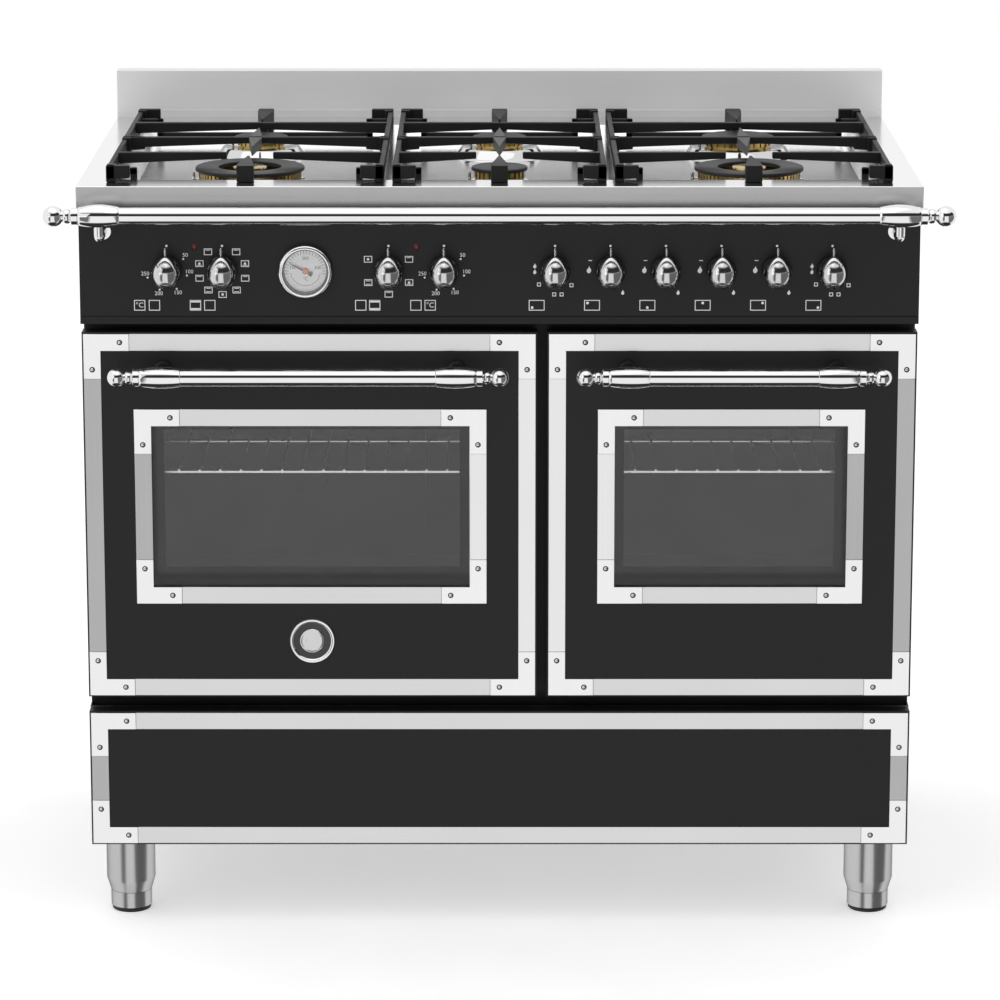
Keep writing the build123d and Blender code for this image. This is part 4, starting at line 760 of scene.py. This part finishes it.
# A bowl's foot and top stand out past the cap by these margins; the last number is its height
DUAL_BOWL, LOW_BOWL, TALL_BOWL = (4.0, 3.0, 7.0), (26.0, 3.0, 7.0), (26.0, 14.0, 12.0)
BURNERS = (
    (-COLUMN, FRONT_ROW, DUAL_CAP, DUAL_BOWL),
    (0.0, FRONT_ROW, SMALL_CAP, LOW_BOWL),
    (COLUMN, FRONT_ROW, DUAL_CAP, DUAL_BOWL),
    (-COLUMN, REAR_ROW, SMALL_CAP, TALL_BOWL),
    (0.0, REAR_ROW, SMALL_CAP, TALL_BOWL),
    (COLUMN, REAR_ROW, LARGE_CAP, TALL_BOWL),
)


def cap_profile(outer, inner):
    """A flat cap with a rounded rim; with an inner diameter, a ring."""
    edge, hole = outer / 2, inner / 2
    profile = [(0, edge - 1.4), (0.8, edge), (3.2, edge), (4.4, edge - 0.7), (5.0, edge - 2.6)]
    if not inner:
        return [(0, 0)] + profile + [(5.0, 0)]
    return profile + [(5.0, hole + 2.0), (4.2, hole + 0.4), (0.8, hole), (0, hole + 0.8)] + profile[:1]


def ring_profile(outer, inner, height):
    """A ring with a foot, set back above it where the teeth stand."""
    step, back = min(3.0, height / 3), outer - 1.4
    profile = [(0, inner), (0, outer), (step, outer), (step + 0.4, back), (height, back), (height, inner)]
    return profile + profile[:1]


def dish_depth(bowl):
    return min(4.0, bowl[1] - 2.0)


def bowl_profile(cap, bowl):
    """A spun bowl on its neck, with a rolled rim and a shallow dish inside."""
    foot, head, height = cap / 2 + bowl[0], cap / 2 + bowl[1], bowl[2]
    profile = [(-12.0, 0), (-12.0, 19.7), (0, 19.7), (0, foot)]
    for step in range(9):
        share = step / 8
        profile.append((0.6 + (height - 1.2) * share**1.4, foot - 0.4 - (foot - head - 0.8) * share))
    dish = height - dish_depth(bowl)
    return profile + [(height, head - 1.2), (height - 0.5, head - 2.2), (dish, cap / 2), (dish, 0)]


def make_teeth(label, x, y, radius, count, size):
    """Teeth between the flame ports, round the upper part of a ring."""
    width, height = size
    teeth = grow(
        label,
        RING_TREE,
        Count=count,
        Radius=(radius - 0.9) * MM,
        Block_Size=metres(1.8, width, height),
        Angle_Step=2 * math.pi / count,
        Centre=metres(x, y, RING_TOP - height / 2),
        Material=BRASS,
    )
    settle(teeth, "body", "brass")


def make_burners():
    bowls, rings, caps, hearts = bmesh.new(), bmesh.new(), bmesh.new(), bmesh.new()
    for number, (x, y, cap, bowl) in enumerate(BURNERS):
        dual, tall = cap == DUAL_CAP, bowl == TALL_BOWL
        turn(bowls, bowl_profile(cap, bowl), (x, y, WELL_FLOOR), UP, 72)
        plug = [(0, 0), (0, 2.0), (12.5, 2.0), (14.0, 1.2), (14.0, 0)]
        turn(bowls, plug, (x - cap / 2 - 2.3, y, WELL_FLOOR + bowl[2] / 2), UP, 20)
        outer = cap / 2 - 4.0
        ring_foot = (x, y, WELL_FLOOR + bowl[2] - dish_depth(bowl))
        height = RING_TOP - ring_foot[2]
        if dual:
            turn(rings, ring_profile(outer, DUAL_HOLE / 2 + 4.0, height), ring_foot, UP, 72)
            turn(caps, cap_profile(cap, DUAL_HOLE), (x, y, RING_TOP), UP, 72)
            turn(rings, ring_profile(DUAL_INNER / 2 - 2.0, 9.0, height), ring_foot, UP, 48)
            turn(hearts, cap_profile(DUAL_INNER, 0), (x, y, RING_TOP), UP, 48)
            make_teeth(f"burner_{number}_heart_teeth", x, y, DUAL_INNER / 2 - 2.0, 18, (3.4, 8.0))
        else:
            turn(rings, ring_profile(outer, outer - 10.0, height), ring_foot, UP, 64)
            turn(caps, cap_profile(cap, 0), (x, y, RING_TOP), UP, 64)
        count, width = (60, 4.0) if dual else (24, 4.6)
        make_teeth(f"burner_{number}_teeth", x, y, outer, count, (width, 6.0 if tall else 9.0))
    keep("burner_bowls", bowls, ALUMINIUM, "body", "aluminium", "burner_bases")
    keep("burner_rings", rings, BRASS, "body", "brass", "burner_crowns")
    keep("burner_lids", caps, CAP_ENAMEL, "body", "cast_iron", "burner_caps")
    keep("burner_hearts", hearts, BRASS, "body", "brass")


make_burners()


# Cast grates: side rails, arched cross bars, a diamond in the middle, fingers and feet

GRATE_TOP = HOB_RIM + 20.0
BAR, BAR_DEPTH = 11.0, 14.0
RAIL = 6.5
FOOT_Z = HOB_RIM + 0.3
FOOT_LENGTH, STUB_LENGTH, FINGER_GAP, MEETING = 20.0, 28.0, 28.0, 2.0
DIAMOND_LENGTH, DIAMOND_WIDTH, DIAMOND_DEPTH = 168.0, 17.0, 12.0
# Low tie bars: how far they stand from the grate's ends and sides, their thickness and height over the well
TIE_REACH, TIE_SIDE, TIE, TIE_RISE = 34.0, 26.0, 8.0, 8.3
CAST_ROUND, TIE_ROUND, DIAMOND_ROUND = 1.3, 1.0, 0.5


def tapered_bar(shape, start, end, widths, depths, top=GRATE_TOP):
    """A bar between two plan points whose width and depth change from one end to the other."""
    first, last = Vector((start[0], start[1], 0)), Vector((end[0], end[1], 0))
    along = (last - first).normalized()
    side = Vector((-along.y, along.x, 0))
    bar = bmesh.new()
    corners = []
    for point, width, depth in ((first, widths[0], depths[0]), (last, widths[1], depths[1])):
        for across, height in ((-1, top - depth), (1, top - depth), (1, top), (-1, top)):
            corners.append(bar.verts.new(point + side * (across * width / 2) + UP * height))
    for face in ((0, 1, 2, 3), (4, 5, 6, 7), (0, 1, 5, 4), (1, 2, 6, 5), (2, 3, 7, 6), (3, 0, 4, 7)):
        bar.faces.new([corners[index] for index in face])
    bmesh.ops.recalc_face_normals(bar, faces=bar.faces)
    edge = min(CAST_ROUND, 0.3 * min(min(widths), min(depths)))
    round_edges(bar, edge)
    add_shape(shape, bar)


def make_grate(name):
    node = f"grate_{name}"
    x, y = span(node, X_AXIS), span(node, Y_AXIS)
    middle, mid_y = (x[0] + x[1]) / 2, (FRONT_ROW + REAR_ROW) / 2
    foot_z = (FOOT_Z, GRATE_TOP)
    tie_z = (WELL_FLOOR + TIE_RISE, WELL_FLOOR + TIE_RISE + TIE)
    shape = bmesh.new()
    for edge, inward in ((x[0], 1), (x[1], -1)):
        rail = edge + inward * BAR / 2
        side = edge + inward * RAIL / 2
        ends = (side, y[0] + 1.0), (side, y[1] - 1.0)
        tapered_bar(shape, *ends, (RAIL, RAIL), (BAR_DEPTH, BAR_DEPTH), GRATE_TOP - 2.0)
        for foot in ((y[0], y[0] + FOOT_LENGTH), (y[1] - FOOT_LENGTH, y[1]), about(mid_y, FOOT_LENGTH / 2)):
            bevelled_box(shape, about(rail, BAR / 2), foot, foot_z, CAST_ROUND)
        for stub in (y[0] + 5.0, y[1] - 5.0, mid_y):
            tapered_bar(shape, (edge, stub), (edge + inward * STUB_LENGTH, stub), (10.0, 10.0), (17.0, 15.0))
        tip, centre = middle - inward * FINGER_GAP, middle + inward * MEETING
        tapered_bar(shape, (rail, FRONT_ROW), (tip, FRONT_ROW), (BAR, 7.5), (13.5, 8.0))
        tapered_bar(shape, (rail, REAR_ROW), (centre, REAR_ROW), (BAR, 9.0), (13.5, 8.5))
        tapered_bar(shape, (rail, mid_y), (centre, mid_y), (BAR, 9.0), (13.0, 7.5))
    near, far = about(mid_y, DIAMOND_LENGTH / 2)
    left, right = about(middle, DIAMOND_WIDTH / 2)
    plan = [(middle, near, 0), (right, mid_y, 0), (middle, far, 0), (left, mid_y, 0)]
    diamond = bmesh.new()
    prism(diamond, plan, GRATE_TOP - DIAMOND_DEPTH, GRATE_TOP, DIAMOND_ROUND)
    keep(f"{node}_diamond", diamond, GROUND_IRON, node, "cast_iron", sharp=CRISP)
    for end, row, inward in ((y[0], FRONT_ROW, 1), (y[1], REAR_ROW, -1)):
        foot = sorted((end, end + inward * FOOT_LENGTH))
        bevelled_box(shape, about(middle, FOOT_LENGTH / 2), foot, foot_z, CAST_ROUND)
        tip = (middle, row - inward * FINGER_GAP)
        tapered_bar(shape, (middle, end + inward * 17.0), tip, (20.0, 2.4), (15.0, 10.0))
        tie = sorted((end + inward * TIE_REACH, end + inward * (TIE_REACH + TIE)))
        bevelled_box(shape, shrunk(x, TIE_SIDE), tie, tie_z, TIE_ROUND)
        bevelled_box(shape, about(middle, TIE / 2), tie, (tie_z[0], GRATE_TOP - 1.0), TIE_ROUND)
        for edge, across in ((x[0], 1), (x[1], -1)):
            link = sorted((edge, edge + across * (TIE_SIDE + TIE)))
            post = sorted((edge + across * TIE_SIDE, edge + across * (TIE_SIDE + TIE)))
            bevelled_box(shape, link, tie, (GRATE_TOP - 2 * TIE, GRATE_TOP - TIE), TIE_ROUND)
            bevelled_box(shape, post, tie, (tie_z[0], GRATE_TOP - TIE), TIE_ROUND)
    keep(f"{node}_casting", shape, CAST_IRON, node, "cast_iron", node, sharp=CRISP)


for grate_name in ("left", "centre", "right"):
    make_grate(grate_name)


# Thermometer: domed bezel, silver dial with ticks and numbers, needle and lens

THERMOMETER_X = -3.5 * KNOB_PITCH
DIAL_RADIUS = 26.6
DIAL_FACE = 1.0


def writing(text, size, centre, height):
    """Raised figures as a bmesh: their middle stands at a place on the front, a little proud of it."""
    curve = bpy.data.curves.new("figures", "FONT")
    curve.body = text
    curve.size = size
    curve.align_x = "CENTER"
    curve.align_y = "CENTER"
    curve.extrude = height / 2
    curve.resolution_u = 3
    mesh = final_mesh(add_object("figures", curve))
    bpy.data.curves.remove(curve)
    shape = bmesh.new()
    shape.from_mesh(mesh)
    bpy.data.meshes.remove(mesh)
    for vert in shape.verts:
        x, y, z = vert.co
        vert.co = Vector((centre[0] + x, centre[1] - z, centre[2] + y))
    return shape


def on_circle(radius, degrees):
    angle = math.radians(degrees)
    return radius * math.cos(angle), radius * math.sin(angle)


# Marks on the dial: count, radius, size of a mark, first angle and step in degrees
DIAL_MARKS = {
    "ticks": (22, 22.2, (4.2, 0.6, 0.3), -9.0, 198.0 / 21),
    "lower_scale": (40, 17.6, (0.5, 1.8, 0.3), 190.0, 4.1),
}
# Figures on the dial: size, distance from the middle and angle in degrees
DIAL_FIGURES = {"100": (5.6, 15.2, 165.0), "200": (5.6, 15.2, 90.0), "300": (5.6, 15.2, 15.0)}
DIAL_FIGURES["°C"] = (6.2, 9.5, -90.0)


def make_thermometer():
    place = (THERMOMETER_X, FACE_Y, KNOB_Z)
    dial_y = FACE_Y - DIAL_FACE
    bezel = [(0, 26.8), (0, 31.0), (4.0, 31.0), (4.6, 31.8), (6.0, 32.4), (7.6, 32.5), (9.2, 32.1)]
    bezel += [(10.7, 31.1), (11.7, 29.7), (12.0, 28.5), (11.8, 27.6), (10.8, 27.0)]
    bezel += [(DIAL_FACE, 26.8), (0, 26.8)]
    # A ring lining the bezel's recess round the dial: a real inner wall, made near-black as painted shade.
    sleeve = [(DIAL_FACE, 24.8), (10.0, 26.2), (10.0, 26.8), (DIAL_FACE, 26.7), (DIAL_FACE, 24.8)]
    can = [(0, 0), (0, 27.0), (25.0, 27.0), (25.0, 0)]
    dial = [(0, 0), (0, DIAL_RADIUS), (DIAL_FACE, DIAL_RADIUS), (DIAL_FACE, 0)]
    lens = [(10.0, 0), (10.0, 26.9), (10.8, 26.9), (11.4, 20.0), (11.4, 0)]
    turned("thermometer_bezel", bezel, place, OUTWARD, 80, CHROME, "body", "chrome", "thermometer_case")
    turned("thermometer_shade_ring", sleeve, place, OUTWARD, 80, SWITCH_PLASTIC, "body", "chrome")
    turned("thermometer_can", can, place, INWARD, 64, SHEET_STEEL, "body", "chrome")
    turned("thermometer_dial", dial, place, OUTWARD, 80, DIAL_SILVER, "body", "chrome")
    for name, (count, radius, size, start, step) in DIAL_MARKS.items():
        marks = grow(
            f"thermometer_{name}",
            RING_TREE,
            Count=count,
            Radius=radius * MM,
            Block_Size=metres(*size),
            Start_Angle=math.radians(start),
            Angle_Step=math.radians(step),
            Centre=metres(THERMOMETER_X, dial_y, KNOB_Z),
            Tilt=(math.pi / 2, 0.0, 0.0),
            Material=DIAL_INK,
        )
        settle(marks, "body", "pointer")
    figures = bmesh.new()
    for sign, (size, radius, degrees) in DIAL_FIGURES.items():
        across, up = on_circle(radius, degrees)
        add_shape(figures, writing(sign, size, (THERMOMETER_X + across, dial_y - 0.1, KNOB_Z + up), 0.3))
    keep("thermometer_figures", figures, DIAL_INK, "body", "pointer")
    turned("thermometer_lens", lens, place, OUTWARD, 80, LENS_GLASS, "body", "glass")


NEEDLE_AIM, NEEDLE_DEPTH, NEEDLE_SHEET, HUB_DEPTH = math.radians(152.0), 5.4, 0.3, 0.6


def make_needle():
    """A tapered needle with a broad tail, on its hub."""
    node = "thermometer_pointer"
    half = [(21.0, 0.35), (3.0, 1.0), (-4.0, 1.1), (-5.0, 2.2), (-9.0, 2.4)]
    plan = [(21.0, -0.35)] + half + [(along, -across) for along, across in reversed(half[1:])]
    outline = []
    for along, across in plan:
        x = along * math.cos(NEEDLE_AIM) - across * math.sin(NEEDLE_AIM)
        z = along * math.sin(NEEDLE_AIM) + across * math.cos(NEEDLE_AIM)
        outline.append((THERMOMETER_X + x, 0, KNOB_Z + z))
    needle = bmesh.new()
    front = NEEDLE_DEPTH - FACE_Y
    prism(needle, outline, front - NEEDLE_SHEET, front, 0.0, up=OUTWARD)
    keep("thermometer_needle", needle, DIAL_INK, node, "pointer", node)
    hub = [(0, 0), (0, 1.0), (4.0, 1.0), (4.0, 3.5), (5.0, 3.5), (5.6, 2.6), (5.6, 0)]
    place = (THERMOMETER_X, FACE_Y - HUB_DEPTH, KNOB_Z)
    turned("thermometer_hub", hub, place, OUTWARD, 32, DIAL_RED, node, "pointer")


make_thermometer()
make_needle()


# Signal lamps: small red domes

LAMP_RADIUS, LAMP_RISE = 3.2, 93.0
LAMP = [(-12.8, 0), (-12.8, LAMP_RADIUS), (0.2, LAMP_RADIUS), (0.7, 2.8), (1.1, 1.8), (1.2, 0)]
lamps = bmesh.new()
for lamp_x in shrunk(span("indicator_lamps", X_AXIS), LAMP_RADIUS):
    turn(lamps, LAMP, (lamp_x, FACE_Y, PANEL_FOOT + LAMP_RISE), OUTWARD, 28)
keep("signal_lamps", lamps, LAMP_RED, "body", "lamp_red", "indicator_lamps")


# Oven racks: side rods, cross bars and a row of wires

# Diameters and pitch, in metres
RACK_ROD, RACK_BAR, RACK_WIRE, RACK_PITCH = 0.006, 0.005, 0.003, 0.025


def make_rack(side):
    node = f"rack_{side}"
    low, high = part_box(node)
    level = low.z + RACK_ROD / 2
    width, depth = high.x - low.x - RACK_ROD, high.y - low.y
    middle_x, middle_y = (low.x + high.x) / 2, (low.y + high.y) / 2
    count = int(width / RACK_PITCH)
    back, across = (math.pi / 2, 0.0, 0.0), (0.0, math.pi / 2, 0.0)
    bar_pitch = (0.0, (depth - RACK_ROD) / 2, 0.0)
    first_wire = (middle_x - RACK_PITCH * (count - 1) / 2, middle_y, level + RACK_ROD / 3)
    first_rod = (low.x + RACK_ROD / 2, middle_y, level)
    first_bar = (middle_x, low.y + RACK_ROD / 2, level)
    rows = (
        ("rods", 2, first_rod, (width, 0.0, 0.0), depth, RACK_ROD, back, [node]),
        ("bars", 3, first_bar, bar_pitch, width, RACK_BAR, across, []),
        ("wires", count, first_wire, (RACK_PITCH, 0.0, 0.0), depth, RACK_WIRE, back, []),
    )
    for label, number, first, pitch, length, diameter, lie, nodes in rows:
        row = grow(
            f"{node}_{label}",
            ROD_ROW_TREE,
            Count=number,
            First=first,
            Pitch=pitch,
            Length=length,
            Diameter=diameter,
            Lie=lie,
            Material=WIRE_CHROME,
        )
        settle(row, node, "chrome", *nodes)


for door_side in DOORS:
    make_rack(door_side)


# White marks printed on the control panel

INK = 0.2
PRINT = (FACE_Y - INK, FACE_Y)
LINE = 0.9
KEY_Z = PANEL_FOOT + 22.6


def patch(shape, x, z, width, height):
    """A filled rectangle about a middle point."""
    bevelled_box(shape, about(x, width / 2), PRINT, about(z, height / 2), 0.0)


def outline_mark(shape, x, z, width, height):
    for side in (-1, 1):
        patch(shape, x + side * (width - LINE) / 2, z, LINE, height)
        patch(shape, x, z + side * (height - LINE) / 2, width - 2 * LINE, LINE)


def dot_mark(shape, x, z, diameter):
    turn(shape, [(0, 0), (0, diameter / 2), (INK, diameter / 2), (INK, 0)], (x, FACE_Y, z), OUTWARD, 20)


FLAME = [(0, -0.5), (0.42, -0.3), (0.5, 0.0), (0.2, 0.28)]
FLAME += [(0.08, 0.5), (-0.1, 0.22), (-0.4, 0.05), (-0.45, -0.28)]
FLAME_WIDTH = 0.62


def flame_mark(shape, x, z, height):
    """A leaning drop for a flame."""
    outline = [(x + across * height * FLAME_WIDTH, 0, z + up * height) for across, up in FLAME]
    prism(shape, outline, -FACE_Y, INK - FACE_Y, 0.0, up=OUTWARD)


# A thermostat's dots: first angle and step in degrees, distance from the middle
SCALE_START, SCALE_STEP, SCALE_RADIUS = 36.0, 49.2, 24.3
# Figures stand above their dots, and below them at the foot of the scale
FIGURE_SIZE, FIGURE_RISE, FIGURE_TURN, FIGURE_SPREAD = 6.6, 4.6, 12.0, 1.12


def thermostat_marks(shape, centre):
    for number in range(5):
        across, up = on_circle(SCALE_RADIUS, SCALE_START - SCALE_STEP * number)
        dot_mark(shape, centre + across, KNOB_Z + up, 2.4)
        rise = FIGURE_RISE if up > -FIGURE_TURN else -FIGURE_RISE
        place = (centre + across * FIGURE_SPREAD, FACE_Y - INK / 2, KNOB_Z + up + rise)
        add_shape(shape, writing(str(50 * (number + 1)), FIGURE_SIZE, place, INK))


# Width and height of a selector's sign and of the bars in it, and how far these stand from its middle
SIGN, SIGN_BAR, SIGN_RISE = (9.7, 7.9), (5.6, 0.8), 2.0


def selector_marks(shape, centre, count, radius, step):
    """Upright keys round a selector, each with its own generic sign of bars or a dot."""
    for number in range(1, count + 1):
        across, up = on_circle(radius, 90.0 - step * number)
        x, z = centre + across, KNOB_Z + up
        outline_mark(shape, x, z, *SIGN)
        if number % 3 != 2:
            patch(shape, x, z + SIGN_RISE, *SIGN_BAR)
        if number % 2 == 0:
            patch(shape, x, z - SIGN_RISE, *SIGN_BAR)
        if number % 3 == 2:
            dot_mark(shape, x, z, 3.0)


# Which burner each tap feeds: its row (-1 front, 1 rear) and column (-1 left, 0 centre, 1 right)
TAP_BURNERS = {1: (-1, -1), 2: (1, -1), 3: (-1, 0), 4: (1, 0), 5: (1, 1), 6: (-1, 1)}
DUAL_TAPS = (1, 6)
# Places round a tap: across from the knob's middle and up from the floor; a plain tap's flames have a height
TAP_KEY_X, TAP_KEY = -21.6, (18.7, 12.7)
DUAL_FLAMES = ((-24.0, 815.0), (-24.0, 808.0))
DUAL_BOXES = ((-18.9, 792.7), (19.7, 791.8), (-0.8, 780.7), (8.0, 780.7))
PLAIN_FLAMES = ((-25.5, 810.4, 9.0), (14.7, 783.2, 6.4))
PLAIN_BAR = (-24.0, 821.5)


def tap_marks(shape, number):
    centre = number * KNOB_PITCH
    row, column = TAP_BURNERS[number]
    outline_mark(shape, centre + TAP_KEY_X, KEY_Z, *TAP_KEY)
    dot_mark(shape, centre + TAP_KEY_X + column * 5.4, KEY_Z + row * 2.8, 3.2)
    if number in DUAL_TAPS:
        for x, z in DUAL_FLAMES:
            flame_mark(shape, centre + x, z, 6.4)
        for x, z in DUAL_BOXES:
            outline_mark(shape, centre + x, z, 4.6, 4.6)
    else:
        patch(shape, centre + PLAIN_BAR[0], PLAIN_BAR[1], 4.4, LINE)
        for x, z, height in PLAIN_FLAMES:
            flame_mark(shape, centre + x, z, height)


DOT_RISE = 94.0
# Keys below the oven knobs; the first and last show the unit, and the third and sixth two bars
OVEN_KEYS, OVEN_KEY = (-427.1, -409.6, -360.9, -343.9, -164.7, -148.1, -99.2, -82.3), (13.3, 12.7)


def make_marks():
    shape = bmesh.new()
    for step in list(OVEN_KNOBS.values()) + list(GAS_KNOBS):
        dot_mark(shape, step * KNOB_PITCH, PANEL_FOOT + DOT_RISE, 2.8)
    for side in DOORS:
        thermostat_marks(shape, OVEN_KNOBS[f"thermostat_{side}"] * KNOB_PITCH)
    selector_marks(shape, OVEN_KNOBS["selector_left"] * KNOB_PITCH, 9, 28.4, 36.0)
    selector_marks(shape, OVEN_KNOBS["selector_right"] * KNOB_PITCH, 5, 28.0, 60.0)
    for number in GAS_KNOBS:
        tap_marks(shape, number)
    for x in OVEN_KEYS:
        outline_mark(shape, x, KEY_Z, *OVEN_KEY)
    for x in (OVEN_KEYS[0], OVEN_KEYS[-1]):
        add_shape(shape, writing("°C", 8.6, (x, FACE_Y - INK / 2, KEY_Z), INK))
    for x in (OVEN_KEYS[2], OVEN_KEYS[5]):
        for z in about(KEY_Z, 4.6):
            patch(shape, x, z, 12.0, 2.4)
    keep("panel_marks", shape, PRINT_WHITE, "body", "black_enamel")


make_marks()


# Finishes of the pieces that show as they are

PLAIN_FINISHES = (
    (BLACK_ENAMEL, "side_panels", "control_panel", "front_frame", "drawer_front"),
    (BLACK_ENAMEL, "door_left_panel", "door_right_panel", "door_left_liner", "door_right_liner"),
    (OVEN_ENAMEL, "oven_cavity_left", "oven_cavity_right", "fan_cover", "oven_fan"),
    (HOB_STEEL, "hob_top"),
    (GUARD_STEEL, "backguard"),
    (SHEET_STEEL, "back_panel", "base_pan", "drawer_box", "gas_manifold", "heating_elements"),
    (SHEET_STEEL, "door_left_hinges", "door_right_hinges"),
    (SHEET_STEEL, *(f"gas_spindle_{number}" for number in GAS_KNOBS)),
    (WIRE_CHROME, "rack_ladders"),
    (RUBBER, "door_seals"),
    (SWITCH_PLASTIC, "oven_switches"),
    (OVEN_GLASS, "door_left_glass", "door_right_glass"),
)
for finish, *names in PLAIN_FINISHES:
    for name in names:
        for slot in NODES[name].material_slots:
            slot.material = finish


# Floor, light and camera

FLOOR_HALF = 6.0


def make_floor():
    mesh = bpy.data.meshes.new("floor")
    corners = [(x * FLOOR_HALF, y * FLOOR_HALF, 0) for x, y in ((-1, -1), (1, -1), (1, 1), (-1, 1))]
    mesh.from_pydata(corners, [], [(0, 1, 2, 3)])
    material = grained("pale_floor", 0.83, 0.85, 0.7, 0.8, 40.0, 0.0, Emission_Strength=0.36)
    tree = material.node_tree
    shader = tree.nodes["Principled BSDF"]
    ways = tree.nodes.new("ShaderNodeLightPath").outputs
    drift = shader.inputs["Base Color"].links[0].from_socket
    more = to_range(tree, ways["Is Camera Ray"], 1.0, 1.4)
    glow = add_node(tree, "ShaderNodeVectorMath", {"Vector": drift, "Scale": more}, operation="SCALE")
    tree.links.new(glow.outputs["Vector"], shader.inputs["Emission Color"])
    tree.links.new(to_range(tree, ways["Is Glossy Ray"], 1.0, 0.0), shader.inputs["Alpha"])
    mesh.materials.append(material)
    add_object("floor", mesh)


# How dark the mirrored screens and the whole dark studio are, and the strength of the soft light
SCREEN_SHADE, STUDIO_SHADE, SOFT_LIGHT = 0.85, 0.97, 0.8


def make_world():
    """White to the eye; mirrors see a studio with a dark wall, screens and ground; the rest is soft light."""
    world = bpy.data.worlds.new("studio")
    world.use_nodes = True
    bpy.context.scene.world = world
    tree = world.node_tree
    background = tree.nodes["Background"]
    background.inputs["Color"].default_value = tone(1.0)
    ways = tree.nodes.new("ShaderNodeLightPath").outputs
    camera, glossy, clear = (ways[f"Is {way} Ray"] for way in ("Camera", "Glossy", "Transmission"))
    aim = tree.nodes.new("ShaderNodeTexCoord").outputs["Generated"]
    parts = add_node(tree, "ShaderNodeSeparateXYZ", {"Vector": aim}).outputs
    x, y, z = (parts[axis] for axis in "XYZ")

    def maths(operation, result, *others):
        for other in others:
            result = calculate(tree, operation, result, other)
        return result

    def rise(value, start, end):
        return to_range(tree, value, 0.0, 1.0, start, end)

    def fall(value, start, end):
        return to_range(tree, value, 1.0, 0.0, start, end)

    in_front = fall(maths("SUBTRACT", y, maths("MULTIPLY", x, 0.35)), -0.45, -0.3)
    wall = maths("MULTIPLY", fall(z, 0.6, 0.7), rise(z, 0.12, 0.2), in_front)
    left = maths("MULTIPLY", fall(x, -0.38, -0.3), rise(x, -0.7, -0.58))
    sides = maths("MAXIMUM", left, rise(x, 0.3, 0.38))
    screen = maths("MULTIPLY", sides, in_front, fall(z, 0.12, 0.2), SCREEN_SHADE)
    dark = maths("MAXIMUM", wall, screen, fall(z, -0.88, -0.8))
    studio = maths("MULTIPLY", glossy, maths("SUBTRACT", 1.0, maths("MULTIPLY", dark, STUDIO_SHADE)))
    seen = maths("MAXIMUM", camera, studio, clear)
    rest = maths("MULTIPLY", maths("SUBTRACT", 1.0, maths("MAXIMUM", camera, glossy, clear)), SOFT_LIGHT)
    tree.links.new(maths("ADD", seen, rest), background.inputs["Strength"])


LAMP_AIM = Vector((0.0, 0.0, 0.6))


def add_light(name, place, size, power):
    """A soft rectangular lamp that looks at the middle of the cooker."""
    lamp = bpy.data.lights.new(name, "AREA")
    lamp.shape = "RECTANGLE"
    lamp.size, lamp.size_y = size
    lamp.energy = power
    holder = add_object(name, lamp)
    holder.location = place
    holder.rotation_euler = (LAMP_AIM - Vector(place)).to_track_quat("-Z", "Y").to_euler()


CAMERA_PLACE, CAMERA_TILT = (0.0006, -5.310, 1.709), 77.64
LENS, SENSOR, SHIFT, FAR_END = 155.51, 36.0, -0.06, 60.0


def make_camera():
    camera = bpy.data.cameras.new("camera")
    camera.lens = LENS
    camera.sensor_width = SENSOR
    camera.shift_y = SHIFT
    camera.clip_end = FAR_END
    camera.dof.use_dof = False
    holder = add_object("camera", camera)
    holder.location = CAMERA_PLACE
    holder.rotation_euler = (math.radians(CAMERA_TILT), 0.0, 0.0)
    bpy.context.scene.camera = holder


make_floor()
make_world()
add_light("overhead", (-0.4, -0.6, 3.2), (3.0, 2.4), 10.0)
add_light("front_left", (-2.4, -3.0, 1.9), (1.4, 2.2), 9.0)
make_camera()
bpy.context.scene.view_settings.view_transform = "Standard"
